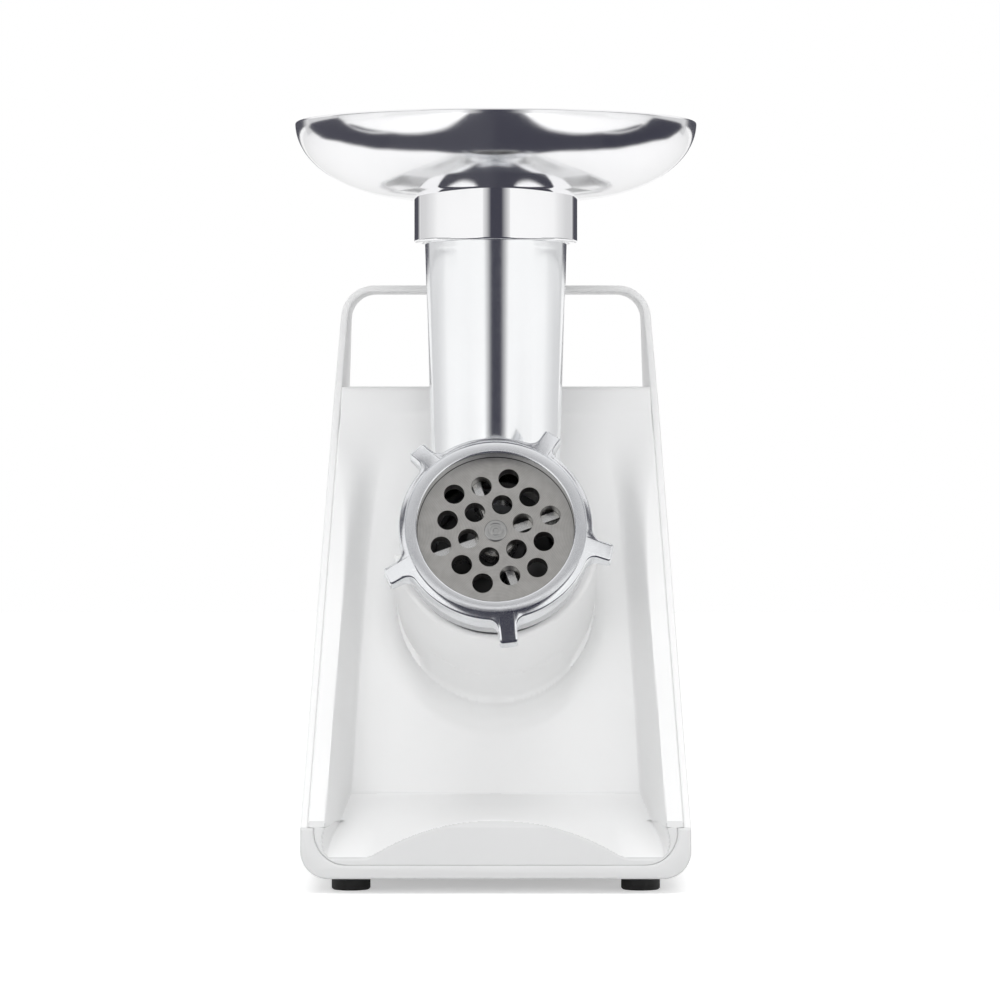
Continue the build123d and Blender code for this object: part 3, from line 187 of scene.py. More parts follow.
def rounded(corners, steps=6, closed=True):
    """(x, y, radius) corners as a list of points with arcs at the corners."""
    points = []
    last = len(corners) - 1
    for i, (x, y, radius) in enumerate(corners):
        if radius <= 0 or (not closed and i in (0, last)):
            points.append((x, y))
            continue
        corner = Vector((x, y))
        before = (Vector(corners[i - 1][:2]) - corner).normalized()
        after = (Vector(corners[(i + 1) % len(corners)][:2]) - corner).normalized()
        half = before.angle(after) / 2
        centre = corner + (before + after).normalized() * radius / math.sin(half)
        start = corner + before * radius / math.tan(half) - centre
        end = corner + after * radius / math.tan(half) - centre
        first = math.atan2(start.y, start.x)
        sweep = (math.atan2(end.y, end.x) - first + math.pi) % (2 * math.pi) - math.pi
        for k in range(steps + 1):
            turn = first + sweep * k / steps
            points.append((centre.x + radius * math.cos(turn), centre.y + radius * math.sin(turn)))
    return points


def make_object(name, vertices, faces, body, material, stands_for=(), sharp=35.0):
    """A mesh piece from millimetre points, with clean outward normals, riding on a body."""
    mesh = bpy.data.meshes.new(name)
    mesh.from_pydata([Vector(v) * MM for v in vertices], [], faces)
    bm = bmesh.new()
    bm.from_mesh(mesh)
    bmesh.ops.recalc_face_normals(bm, faces=bm.faces)
    bm.to_mesh(mesh)
    bm.free()
    mesh.shade_smooth()
    mesh.set_sharp_from_angle(angle=math.radians(sharp))
    piece = bpy.data.objects.new(name, mesh)
    bpy.context.scene.collection.objects.link(piece)
    mesh.materials.append(material)
    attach(piece, body)
    if stands_for:
        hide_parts(*stands_for)
    return piece


def loft_rings(rings, close_rings=True, close_ends=False, caps=(False, False)):
    """Vertices and faces between rings of equal length whose points run the same way round."""
    count = len(rings[0])
    vertices = [p for ring in rings for p in ring]
    faces = []
    spans = len(rings) if close_ends else len(rings) - 1
    for r in range(spans):
        a, b = r * count, ((r + 1) % len(rings)) * count
        for i in range(count if close_rings else count - 1):
            j = (i + 1) % count
            faces.append((a + i, a + j, b + j, b + i))
    if caps[0]:
        faces.append(tuple(range(count))[::-1])
    if caps[1]:
        faces.append(tuple(range((len(rings) - 1) * count, len(rings) * count)))
    return vertices, faces


def lathe(profile, place, count=192, closed=True):
    """Revolves (radius, along) points. place turns (x, y, along) into a point."""
    vertices, faces, rows = [], [], []
    for radius, along in profile:
        if radius < 1e-6:
            rows.append([len(vertices)])
            vertices.append(place(0, 0, along))
        else:
            rows.append(list(range(len(vertices), len(vertices) + count)))
            for i in range(count):
                turn = 2 * math.pi * i / count
                vertices.append(place(radius * math.cos(turn), radius * math.sin(turn), along))
    spans = len(rows) if closed else len(rows) - 1
    for r in range(spans):
        a, b = rows[r], rows[(r + 1) % len(rows)]
        for i in range(count):
            j = (i + 1) % count
            if len(a) == 1 and len(b) == 1:
                continue
            if len(a) == 1:
                faces.append((a[0], b[j], b[i]))
            elif len(b) == 1:
                faces.append((a[i], a[j], b[0]))
            else:
                faces.append((a[i], a[j], b[j], b[i]))
    return vertices, faces


def upright(y):
    """Place function for a lathe about a vertical axis at (0, y)."""
    return lambda a, b, along: Vector((a, y + b, along))


# ---------------------------------------------------------------- material helpers
def new_material(name):
    material = bpy.data.materials.new(name)
    material.use_nodes = True
    tree = material.node_tree
    return material, tree, tree.nodes["Principled BSDF"]


def calculate(tree, operation, *values):
    """A math node's result; each value is a number or another node's output."""
    node = tree.nodes.new("ShaderNodeMath")
    node.operation = operation
    for socket, value in zip(node.inputs, values):
        if isinstance(value, bpy.types.NodeSocket):
            tree.links.new(value, socket)
        else:
            socket.default_value = value
    return node.outputs["Value"]


def noise(tree, scale, detail=4.0, roughness=0.5):
    """A 3-D noise in the object's own metres."""
    coordinates = tree.nodes.new("ShaderNodeTexCoord")
    texture = tree.nodes.new("ShaderNodeTexNoise")
    texture.inputs["Scale"].default_value = scale
    texture.inputs["Detail"].default_value = detail
    texture.inputs["Roughness"].default_value = roughness
    tree.links.new(coordinates.outputs["Object"], texture.inputs["Vector"])
    return texture.outputs["Fac"]


# a noise keeps mostly within these values, so they count as its ends
NOISE_LOW = 0.3
NOISE_HIGH = 0.7


def remap(tree, value, low, high):
    """A noise's value as a number between low and high."""
    node = tree.nodes.new("ShaderNodeMapRange")
    node.inputs["From Min"].default_value = NOISE_LOW
    node.inputs["From Max"].default_value = NOISE_HIGH
    node.inputs["To Min"].default_value = low
    node.inputs["To Max"].default_value = high
    tree.links.new(value, node.inputs["Value"])
    return node.outputs["Result"]


def colour_between(tree, value, dark, light):
    """A noise's value as a colour between dark and light."""
    ramp = tree.nodes.new("ShaderNodeValToRGB")
    ramp.color_ramp.elements[0].position = NOISE_LOW
    ramp.color_ramp.elements[1].position = NOISE_HIGH
    ramp.color_ramp.elements[0].color = (*dark, 1)
    ramp.color_ramp.elements[1].color = (*light, 1)
    tree.links.new(value, ramp.inputs["Fac"])
    return ramp.outputs["Color"]


def bump(tree, shader, height, strength, distance):
    node = tree.nodes.new("ShaderNodeBump")
    node.inputs["Strength"].default_value = strength
    node.inputs["Distance"].default_value = distance
    tree.links.new(height, node.inputs["Height"])
    tree.links.new(node.outputs["Normal"], shader.inputs["Normal"])


def plastic(name, dark, light, roughness, grain=1600.0):
    """Moulded plastic: a faint mottle, fine grain and slightly uneven gloss."""
    material, tree, shader = new_material(name)
    tree.links.new(colour_between(tree, noise(tree, 18.0), dark, light), shader.inputs["Base Color"])
    gloss = remap(tree, noise(tree, 60.0), roughness - 0.04, roughness + 0.04)
    tree.links.new(gloss, shader.inputs["Roughness"])
    bump(tree, shader, noise(tree, grain, 2.0), 0.25, 0.00002)
    return material


def metal(name, dark, light, roughness, spread=0.03, grain=None, grain_depth=0.00001):
    """Metal with an uneven polish, and with a cast or ground grain where one is given."""
    material, tree, shader = new_material(name)
    shader.inputs["Metallic"].default_value = 1.0
    tree.links.new(colour_between(tree, noise(tree, 30.0), dark, light), shader.inputs["Base Color"])
    polish = remap(tree, noise(tree, 400.0, 5.0, 0.6), roughness - spread, roughness + spread)
    tree.links.new(polish, shader.inputs["Roughness"])
    if grain:
        bump(tree, shader, noise(tree, grain, 3.0, 0.6), 0.3, grain_depth)
    return material


def head_radius(tree):
    """Distance from the grinding head's axis, in metres."""
    coordinates = tree.nodes.new("ShaderNodeTexCoord")
    from_origin = tree.nodes.new("ShaderNodeVectorMath")
    from_origin.operation = "SUBTRACT"
    from_origin.inputs[1].default_value = HEAD_ORIGIN * MM
    tree.links.new(coordinates.outputs["Object"], from_origin.inputs[0])
    upward = tree.nodes.new("ShaderNodeVectorMath")
    upward.operation = "DOT_PRODUCT"
    upward.inputs[1].default_value = HEAD_UP
    tree.links.new(from_origin.outputs["Vector"], upward.inputs[0])
    parts = tree.nodes.new("ShaderNodeSeparateXYZ")
    tree.links.new(from_origin.outputs["Vector"], parts.inputs[0])
    across = tree.nodes.new("ShaderNodeCombineXYZ")
    tree.links.new(parts.outputs["X"], across.inputs["X"])
    tree.links.new(upward.outputs["Value"], across.inputs["Y"])
    length = tree.nodes.new("ShaderNodeVectorMath")
    length.operation = "LENGTH"
    tree.links.new(across.outputs["Vector"], length.inputs[0])
    return length.outputs["Value"]


def wave(tree, value, pitch):
    """A sine of a length, one turn for each pitch, between 0 and 1."""
    turns = calculate(tree, "MULTIPLY", value, 2 * math.pi / pitch)
    sine = calculate(tree, "SINE", turns)
    return calculate(tree, "MULTIPLY_ADD", sine, 0.5, 0.5)


def mixed(tree, first, second, share):
    """first weighted by share, and second by the rest."""
    mix = tree.nodes.new("ShaderNodeMix")
    mix.inputs["Factor"].default_value = share
    tree.links.new(second, mix.inputs["A"])
    tree.links.new(first, mix.inputs["B"])
    return mix.outputs["Result"]


def darken_beyond(tree, colour, value, start, end, dark=(0.008, 0.008, 0.008)):
    """The colour, going dark where value passes from start to end."""
    fade = tree.nodes.new("ShaderNodeMapRange")
    fade.inputs["From Min"].default_value = start
    fade.inputs["From Max"].default_value = end
    tree.links.new(value, fade.inputs["Value"])
    mix = tree.nodes.new("ShaderNodeMix")
    mix.data_type = "RGBA"
    tree.links.new(fade.outputs["Result"], mix.inputs["Factor"])
    tree.links.new(colour, mix.inputs["A"])
    mix.inputs["B"].default_value = (*dark, 1)
    return mix.outputs["Result"]


TURNING_PITCH = 0.00055
# between these radii the plate's colour goes near black: painted shade for the gap behind the nut's lip
PLATE_SHADE_START = 0.0289
PLATE_SHADE_END = 0.0292


def plate_steel():
    """The hole plate's steel, faced on a lathe; its edge is painted near black, a painted shade for the gap
    behind the nut's lip.
    """
    material, tree, shader = new_material("plate_steel")
    shader.inputs["Metallic"].default_value = 1.0
    radius = head_radius(tree)
    turning = wave(tree, radius, TURNING_PITCH)
    marks = mixed(tree, turning, noise(tree, 300.0, 4.0), 0.35)
    colour = colour_between(tree, marks, (0.43, 0.42, 0.40), (0.56, 0.55, 0.53))
    # painted shade: the plate's edge turns near black where it meets the nut's lip
    colour = darken_beyond(tree, colour, radius, PLATE_SHADE_START, PLATE_SHADE_END)
    tree.links.new(colour, shader.inputs["Base Color"])
    tree.links.new(remap(tree, marks, 0.34, 0.44), shader.inputs["Roughness"])
    bump(tree, shader, marks, 0.12, 0.00002)
    return material


# ---------------------------------------------------------------- materials
WHITE = plastic("white_housing", (0.826, 0.828, 0.828), (0.842, 0.844, 0.844), 0.34)
# a darker copy of the white plastic: painted shade for the base's low front and the lip below the niche
SHADED_WHITE_BASE = plastic("white_base", (0.672, 0.675, 0.677), (0.688, 0.691, 0.693), 0.36)
# a paler copy of the white plastic: painted light for the niche floor's upward faces
LIT_WHITE_FLOOR = plastic("white_floor", (0.905, 0.907, 0.907), (0.921, 0.923, 0.923), 0.34)
GREY_PLASTIC = plastic("grey_plastic", (0.56, 0.57, 0.58), (0.60, 0.61, 0.62), 0.42)
BLACK_PLASTIC = plastic("black_plastic", (0.012, 0.012, 0.013), (0.022, 0.022, 0.023), 0.38)
RUBBER = plastic("black_rubber", (0.010, 0.010, 0.010), (0.018, 0.018, 0.018), 0.75, grain=900.0)
NYLON = plastic("gear_nylon", (0.70, 0.68, 0.60), (0.78, 0.76, 0.69), 0.45)
TRAY_METAL = metal("tray_steel", (0.90, 0.90, 0.91), (0.94, 0.94, 0.95), 0.13, 0.015)
COLLAR_METAL = metal("collar_steel", (0.92, 0.92, 0.93), (0.95, 0.95, 0.96), 0.06, 0.01)
HEAD_METAL = metal("head_metal", (0.92, 0.93, 0.94), (0.95, 0.96, 0.97), 0.13, 0.02)
NUT_METAL = metal("nut_metal", (0.78, 0.79, 0.81), (0.86, 0.87, 0.89), 0.22, 0.03, 900.0, 0.00002)
PLATE_METAL = plate_steel()
KNIFE_METAL = metal("knife_steel", (0.62, 0.62, 0.61), (0.76, 0.76, 0.75), 0.26, 0.05, 1200.0, 0.00003)
PIN_METAL = metal("pin_steel", (0.46, 0.46, 0.45), (0.54, 0.54, 0.53), 0.34, 0.03)
# near black: the auger's colour is painted shade, so that the plate's holes look dark inside
AUGER_PAINTED_SHADE = metal("auger_metal", (0.055, 0.055, 0.056), (0.10, 0.10, 0.10), 0.42, 0.05, 500.0, 0.00008)
SOCKET_METAL = metal("socket_metal", (0.55, 0.55, 0.56), (0.63, 0.63, 0.64), 0.35, 0.05, 700.0, 0.00003)
STEEL = metal("screw_steel", (0.50, 0.50, 0.51), (0.58, 0.58, 0.59), 0.30, 0.05, 900.0, 0.00002)
IRON = metal("motor_iron", (0.30, 0.30, 0.31), (0.38, 0.38, 0.39), 0.45, 0.06, 900.0, 0.00004)
BRONZE = metal("bush_bronze", (0.52, 0.38, 0.20), (0.62, 0.47, 0.27), 0.42, 0.06, 800.0, 0.00004)
COPPER = metal("copper_winding", (0.60, 0.27, 0.12), (0.72, 0.36, 0.18), 0.35, 0.06, 700.0, 0.00008)
MATERIALS = {
    "white_housing": WHITE,
    "white_base": SHADED_WHITE_BASE,
    "grey_plastic": GREY_PLASTIC,
    "black_plastic": BLACK_PLASTIC,
    "black_rubber": RUBBER,
    "gear_nylon": NYLON,
    "tray_steel": TRAY_METAL,
    "head_metal": HEAD_METAL,
    "nut_metal": NUT_METAL,
    "plate_steel": PLATE_METAL,
    "knife_steel": KNIFE_METAL,
    "auger_metal": AUGER_PAINTED_SHADE,
    "socket_metal": SOCKET_METAL,
    "gearbox_metal": SOCKET_METAL,
    "motor_bracket": SOCKET_METAL,
    "screw_steel": STEEL,
    "motor_iron": IRON,
    "bush_bronze": BRONZE,
    "copper_winding": COPPER,
}

for subpart in frame["record"]["subparts"]:
    node = NODES[subpart["node"]]
    node.data.materials.clear()
    node.data.materials.append(MATERIALS[subpart["material_slot"]])


# ---------------------------------------------------------------- rounded edges on CAD nodes that stay
EASED_NODES = {"lock_button": 0.5, "switch_body": 0.3, "power_switch": 0.4, "cord_inlet": 0.4}


def ease_edges(name, width):
    node = NODES[name]
    weld = node.modifiers.new("weld", "WELD")
    weld.merge_threshold = 0.00001
    bevel = node.modifiers.new("bevel", "BEVEL")
    bevel.width = width * MM
    bevel.segments = 2
    bevel.limit_method = "ANGLE"
    bevel.angle_limit = math.radians(40)
    bevel.harden_normals = True


for name, width in EASED_NODES.items():
    ease_edges(name, width)


# ---------------------------------------------------------------- tray
TRAY_DEPTH = 30.8
TRAY_POWER = 3.0
TRAY_STEPS = 64
TRAY_REACH = 0.99983  # the wall ends at this share of the radius, just before it stands upright
COLLAR_ROUND = 0.9
COLLAR_LAP = 0.7  # how far the collar reaches into the bowl's wall


def tray_height(radius):
    """Outer height of the bowl: a superellipse, nearly flat in the middle and upright at the rim."""
    return TRAY_RIM_Z - TRAY_DEPTH * math.sqrt(max(0.0, 1.0 - (radius / TRAY_RADIUS) ** TRAY_POWER))


def tray_walls():
    """Outer wall from the hole up to the rim, and inner wall back down to the hole."""
    outer, inner = [], []
    first = math.asin(TRAY_HOLE_RADIUS / TRAY_RADIUS)
    last = math.asin(TRAY_REACH)
    for k in range(TRAY_STEPS + 1):
        radius = TRAY_RADIUS * math.sin(first + (last - first) * k / TRAY_STEPS)
        height = tray_height(radius)
        slope = (tray_height(radius + 0.01) - tray_height(radius - 0.01)) / 0.02
        size = math.hypot(1.0, slope)
        outer.append((radius, height))
        inner.append((radius - TRAY_WALL * slope / size, height + TRAY_WALL / size))
    inner.reverse()
    return outer, inner


def ring_shift(radius):
    """The hole lies off the dish's own axis, over the feed tube; the rings round it move over."""
    share = (TRAY_FLAT_RADIUS - radius) / (TRAY_FLAT_RADIUS - TRAY_HOLE_RADIUS)
    return (TUBE_Y - TRAY_Y) * max(0.0, min(1.0, share))


def dish_height(x, y):
    """Outer height of the dish over a point, found by halving between its rings."""
    low, high = TRAY_HOLE_RADIUS - 1.0, TRAY_RADIUS
    for _ in range(30):
        middle = (low + high) / 2
        if math.hypot(x, y - TRAY_Y - ring_shift(middle)) > middle:
            low = middle
        else:
            high = middle
    return tray_height(low)


def build_tray_dish():
    outer, inner = tray_walls()
    half = TRAY_WALL / 2
    rim = [(TRAY_RADIUS - half * (1 - cos), TRAY_RIM_Z - half * (1 - sin)) for cos, sin in arc(0, 180, 12)]
    vertices, faces = lathe(outer + rim + inner, upright(TRAY_Y), 256)
    for v in vertices:
        v.y += ring_shift(math.hypot(v.x, v.y - TRAY_Y))
    make_object("tray_dish", vertices, faces, "tray", TRAY_METAL, ("hopper_tray",))


def build_tray_collar():
    """The collar on the feed tube; its top follows the dish."""
    profile = rounded(
        [
            (TRAY_HOLE_RADIUS, TRAY_BOTTOM_Z, 0),
            (COLLAR_RADIUS, TRAY_BOTTOM_Z, 0),
            (COLLAR_RADIUS, TRAY_BOTTOM_Z - 1.0, 0),
            (COLLAR_RADIUS, COLLAR_LOW_Z + 1.4, 0),
            (COLLAR_RADIUS, COLLAR_LOW_Z, COLLAR_ROUND),
            (COLLAR_BORE, COLLAR_LOW_Z, COLLAR_ROUND),
            (COLLAR_BORE, TRAY_SEAT_Z, 0),
            (TRAY_HOLE_RADIUS, TRAY_SEAT_Z, 0),
        ]
    )
    vertices, faces = lathe(profile, upright(TUBE_Y), 192)
    for v in vertices:
        if v.z > TRAY_BOTTOM_Z - 0.01:
            v.z = dish_height(v.x, v.y) + COLLAR_LAP
    make_object("tray_collar", vertices, faces, "tray", COLLAR_METAL, ())


build_tray_dish()
build_tray_collar()


# ---------------------------------------------------------------- knife and the auger's pin
KNIFE_FRONT = PLATE_FRONT - PLATE_THICKNESS - 0.3
KNIFE_REAR = KNIFE_FRONT - 8.6
BLADE_COUNT = 4
HUB_RADIUS = 8.0
HUB_BEVEL = 0.6
HUB_PLAY = 0.4
PIN_FACE = PLATE_FRONT + 0.1
# across the blade: a narrow ground land in front and a wider back
BLADE_SECTION = [
    (-1.6, KNIFE_FRONT), (1.6, KNIFE_FRONT), (2.0, KNIFE_FRONT - 0.4), (3.0, KNIFE_FRONT - 4.0),
    (3.2, KNIFE_REAR), (-3.6, KNIFE_REAR), (-3.3, KNIFE_FRONT - 4.0), (-1.9, KNIFE_FRONT - 0.4),
]
# along the blade: distance from the axis, and the share of its full width there
BLADE_REACHES = [(HUB_RADIUS - 0.4, 1.0), (16.0, 0.95), (27.2, 0.85), (28.2, 0.62)]
# the pin's end has a turned ring and a centre mark
PIN_PROFILE = [
    (0.0, PIN_FACE - 2.0), (PIN_RADIUS + 0.02, PIN_FACE - 2.0), (PIN_RADIUS + 0.02, PIN_FACE + 0.15),
    (PIN_RADIUS - 0.3, PIN_FACE + 0.4), (2.9, PIN_FACE + 0.4), (2.7, PIN_FACE + 0.2), (2.0, PIN_FACE + 0.2),
    (1.8, PIN_FACE + 0.35), (1.0, PIN_FACE + 0.35), (0.8, PIN_FACE + 0.1), (0.0, PIN_FACE + 0.1),
]


def build_knife_hub():
    profile = [
        (PIN_RADIUS + HUB_PLAY, KNIFE_REAR),
        (HUB_RADIUS - HUB_BEVEL, KNIFE_REAR),
        (HUB_RADIUS, KNIFE_REAR + HUB_BEVEL),
        (HUB_RADIUS, KNIFE_FRONT - HUB_BEVEL),
        (HUB_RADIUS - HUB_BEVEL, KNIFE_FRONT),
        (PIN_RADIUS + HUB_PLAY, KNIFE_FRONT),
    ]
    vertices, faces = lathe(profile, head_point, 96)
    make_object(
        "knife_hub", vertices, faces, "drive", KNIFE_METAL, ("cutter_knife",), sharp=30.0
    )


def build_knife_blades():
    vertices, faces = [], []
    for blade in range(BLADE_COUNT):
        turn = math.radians(KNIFE_TURN + 360 / BLADE_COUNT * blade)
        cos, sin = math.cos(turn), math.sin(turn)
        rings = []
        for reach, share in BLADE_REACHES:
            section = []
            for across, along in BLADE_SECTION:
                wide = across * share
                section.append(head_point(reach * cos - wide * sin, reach * sin + wide * cos, along))
            rings.append(section)
        more, more_faces = loft_rings(rings, caps=(True, True))
        faces += [tuple(i + len(vertices) for i in face) for face in more_faces]
        vertices += more
    make_object("knife_blades", vertices, faces, "drive", KNIFE_METAL, (), sharp=30.0)


def build_pin_face():
    vertices, faces = lathe(PIN_PROFILE, head_point, 64, closed=False)
    make_object("pin_face", vertices, faces, "drive", PIN_METAL, (), sharp=20.0)


build_knife_hub()
build_knife_blades()
build_pin_face()


# ---------------------------------------------------------------- ring nut
LIP_ROUND = 0.8
BAND_CROWN = 0.35
CROWN_WIDTH = 2.8
CROWN_STEPS = 6
LUG_FRONT = NUT_FRONT - NUT_BEVEL
LUG_ROUND = 0.9
SKIRT_BEVEL = 0.6
BORE_BEVEL = 0.5


def lug_outline():
    """Points round the flange and its five lugs, with filleted roots and rounded tips."""
    half = LUG_WIDTH / 2
    centre_x = math.sqrt((NUT_RADIUS + LUG_ROOT) ** 2 - (half + LUG_ROOT) ** 2)
    root_turn = math.atan2(half + LUG_ROOT, centre_x)
    gap = 2 * math.pi / LUG_COUNT
    # half a lug: the flange from the middle of the gap, the root's fillet, then the tip's round
    lower = []
    for k in range(24):
        turn = -gap / 2 + (gap / 2 - root_turn) * k / 24
        lower.append((NUT_RADIUS * math.cos(turn), NUT_RADIUS * math.sin(turn)))
    fillet_from = math.pi - root_turn
    for k in range(9):
        turn = fillet_from + (math.pi / 2 - fillet_from) * k / 8
        lower.append((centre_x + LUG_ROOT * math.cos(turn), -(half + LUG_ROOT) + LUG_ROOT * math.sin(turn)))
    for cos, sin in arc(-90, 0, 6):
        lower.append((LUG_END_RADIUS - LUG_TIP + LUG_TIP * cos, -half + LUG_TIP + LUG_TIP * sin))
    upper = [(x, -y) for x, y in reversed(lower)]
    lug = lower + upper[:-1]
    outline = []
    for n in range(LUG_COUNT):
        turn = LUG_TURN + n * gap
        cos, sin = math.cos(turn), math.sin(turn)
        outline += [(x * cos - y * sin, x * sin + y * cos) for x, y in lug]
    return outline


LUG_OUTLINE = lug_outline()


def inset(points, distance):
    """The outline moved inwards by distance, point for point."""
    result = []
    for i, (x, y) in enumerate(points):
        ax, ay = points[i - 1]
        bx, by = points[(i + 1) % len(points)]
        tx, ty = bx - ax, by - ay
        size = math.hypot(tx, ty) or 1.0
        result.append((x - ty / size * distance, y + tx / size * distance))
    return result


def circle_ring(radius, along):
    """A circle with the outline's points, so that both loft together."""
    return [head_point(*(Vector(p).normalized() * radius), along) for p in LUG_OUTLINE]


def outline_ring(distance, along, slope=0.0):
    """The outline moved inwards; with a slope, the lugs fall back beyond the flange."""
    ring = []
    for x, y in inset(LUG_OUTLINE, distance):
        beyond = max(0.0, math.hypot(x, y) - NUT_RADIUS)
        ring.append(head_point(x, y, along - beyond * slope))
    return ring


def band_profile():
    """The face's slightly crowned band, and the round from it down to the lugs."""
    crown = []
    for k in range(1, CROWN_STEPS + 1):
        share = k / CROWN_STEPS
        crown.append((LIP_RADIUS + 2 * LIP_ROUND + CROWN_WIDTH * share, NUT_FRONT - BAND_CROWN * share**2))
    corners = [
        crown[-1] + (0,),
        (NUT_BAND_RADIUS, NUT_FRONT - BAND_CROWN - 0.1, 1.0),
        (NUT_RADIUS - LUG_ROUND, LUG_FRONT, 0),
    ]
    return crown + rounded(corners, 4, closed=False)[1:-1]


def build_ring_nut():
    lip_rear = NUT_FRONT - LIP_THICKNESS
    lug_rear = LUG_FRONT - LUG_DEPTH
    rings = [circle_ring(NUT_BORE, NUT_REAR + BORE_BEVEL), circle_ring(NUT_BORE, lip_rear)]
    rings.append(circle_ring(LIP_RADIUS, lip_rear))
    for cos, sin in arc(180, 90, 4):
        rings.append(circle_ring(LIP_RADIUS + LIP_ROUND * (1 + cos), NUT_FRONT - LIP_ROUND * (1 - sin)))
    rings += [circle_ring(radius, along) for radius, along in band_profile()]
    for cos, sin in arc(90, 0, 4):
        rings.append(outline_ring(LUG_ROUND * (1 - cos), LUG_FRONT - LUG_ROUND * (1 - sin), LUG_SLOPE))
    for cos, sin in arc(0, -90, 4):
        rings.append(outline_ring(LUG_ROUND * (1 - cos), lug_rear + LUG_ROUND * (1 + sin)))
    rings += [
        circle_ring(NUT_SKIRT_RADIUS, lug_rear),
        circle_ring(NUT_SKIRT_RADIUS, NUT_REAR + SKIRT_BEVEL),
        circle_ring(NUT_SKIRT_RADIUS - SKIRT_BEVEL, NUT_REAR),
        circle_ring(NUT_BORE + BORE_BEVEL, NUT_REAR),
    ]
    vertices, faces = loft_rings(rings, close_ends=True)
    make_object("nut_body", vertices, faces, "nut", NUT_METAL, ("ring_nut",), sharp=50.0)


build_ring_nut()


# ---------------------------------------------------------------- housing front
WALL_BLEND = 7.0
FLOOR_BLEND = 5.0
ARCH_BLEND = 2.0
FLOOR_MARGIN = 6.0  # the floor still shapes the niche this far above FLOOR_Z
FAR_Y = 1000.0
# the niche's mouth is crisp below and softer towards the top
MOUTH_ROUND = 1.6
MOUTH_ROUND_GAIN = 9.0
MOUTH_FADE_Z = 110.0
MOUTH_FADE = 60.0
# the boss runs into the panel with a fillet, and below with a wide sweep
BOSS_FILLET = 12.0
BOSS_BLEND = 40.0
BOSS_REACH = 34.0
SWEEP_SIDE_FADE = 14.0
SWEEP_TOP = 16.0
SWEEP_TOP_FADE = 12.0
SWEEP_BLEND = 3.0
TOP_ROUND = 1.5
SIDE_ROUND = 0.5
FRONT_COLUMNS = 300
LOWER_ROWS = 90
UPPER_ROWS = 170
FINE_TOP_Z = 36.0


def smooth_min(a, b, blend):
    share = np.maximum(blend - np.abs(a - b), 0.0) / blend
    return np.minimum(a, b) - share * share * blend / 4


def smooth_max(a, b, blend):
    return -smooth_min(-a, -b, blend)


def fall_back(reach, radius):
    """How far a rounded edge has fallen back, reach beyond the start of its round."""
    reach = np.clip(reach, 0, radius)
    return radius - np.sqrt(radius**2 - reach**2)


def niche_wall_y(x, z, panel, rim_plane):
    """The niche's side walls, which open out from the panel to the mouth."""
    back = NICHE_HALF_WIDTH - np.clip(z - FLOOR_Z, 0, None) * NICHE_TAPER
    mouth = NICHE_MOUTH_HALF_WIDTH - np.clip(z - SEAM_Z, 0, None) * NICHE_TAPER / math.cos(RIM_LEAN)
    # below the seam the mouth widens to the base's walls, and its lower corners are rounded
    below = np.clip((SEAM_Z - z) / (SEAM_Z - FRONT_SEAM_Z), 0, 1)
    mouth = mouth + (BASE_HALF_WIDTH - BASE_WALL - NICHE_MOUTH_HALF_WIDTH) * below
    mouth = mouth - fall_back(MOUTH_CORNER + FRONT_SEAM_Z - z, MOUTH_CORNER)
    depth = np.maximum(panel - rim_plane, 0.01)
    return panel - (x - back) / (mouth - back) * depth


def niche_floor_y(x, z):
    """The niche's floor, which slopes forward and down; its front edge is arched over the hump."""
    rise = HUMP_Z - HUMP_EDGE_Z
    arch_radius = (HUMP_HALF_WIDTH**2 + rise**2) / 2 / rise
    arch = HUMP_Z - arch_radius + np.sqrt(np.maximum(arch_radius**2 - x**2, 0))
    run = PANEL_Y - RIM_Y
    front_z = smooth_max(arch, np.full_like(arch, FLOOR_Z - FLOOR_SLOPE * run), ARCH_BLEND)
    return PANEL_Y - run * (FLOOR_Z - z) / (FLOOR_Z - front_z)


def boss_sweep(surface, x, z, up):
    """How far the panel runs forward under the boss."""
    lowest = BOSS_RISE - np.sqrt(np.maximum(BOSS_RADIUS**2 - x**2, 0))
    underside = HEAD_ORIGIN.y + (lowest - (z - HEAD_ORIGIN.z) * math.cos(TILT)) / math.sin(TILT)
    sweep = np.maximum(smooth_min(surface, underside, BOSS_BLEND), surface - BOSS_REACH) - surface
    side_fade = np.clip((BOSS_RADIUS - x) / SWEEP_SIDE_FADE, 0, 1)
    top_fade = np.clip((SWEEP_TOP - up) / SWEEP_TOP_FADE, 0, 1)
    return sweep * side_fade * side_fade * (3 - 2 * side_fade) * top_fade


def housing_front_y(x, z):
    """Distance along Y of the housing's front face, seen from the front, at arrays of x and z."""
    x = np.abs(x)
    panel = panel_y(z)
    rim_plane = np.where(z > SEAM_Z, rim_y(z), RIM_Y)
    walls = smooth_min(panel, niche_wall_y(x, z, panel, rim_plane), WALL_BLEND)
    floor = np.where(z < FLOOR_Z + FLOOR_MARGIN, niche_floor_y(x, z), FAR_Y)
    niche = smooth_min(walls, floor, FLOOR_BLEND)
    fade = np.clip((z - MOUTH_FADE_Z) / MOUTH_FADE, 0, 1)
    surface = smooth_max(niche, rim_plane, MOUTH_ROUND + MOUTH_ROUND_GAIN * fade)
    # within the boss the surface stays hidden
    up = (surface - HEAD_ORIGIN.y) * math.sin(TILT) + (z - HEAD_ORIGIN.z) * math.cos(TILT)
    beyond = np.sqrt(x**2 + (up - BOSS_RISE) ** 2) - BOSS_RADIUS
    filleted = surface - fall_back(BOSS_FILLET - beyond, BOSS_FILLET)
    return smooth_min(filleted, surface + boss_sweep(surface, x, z, up), SWEEP_BLEND)


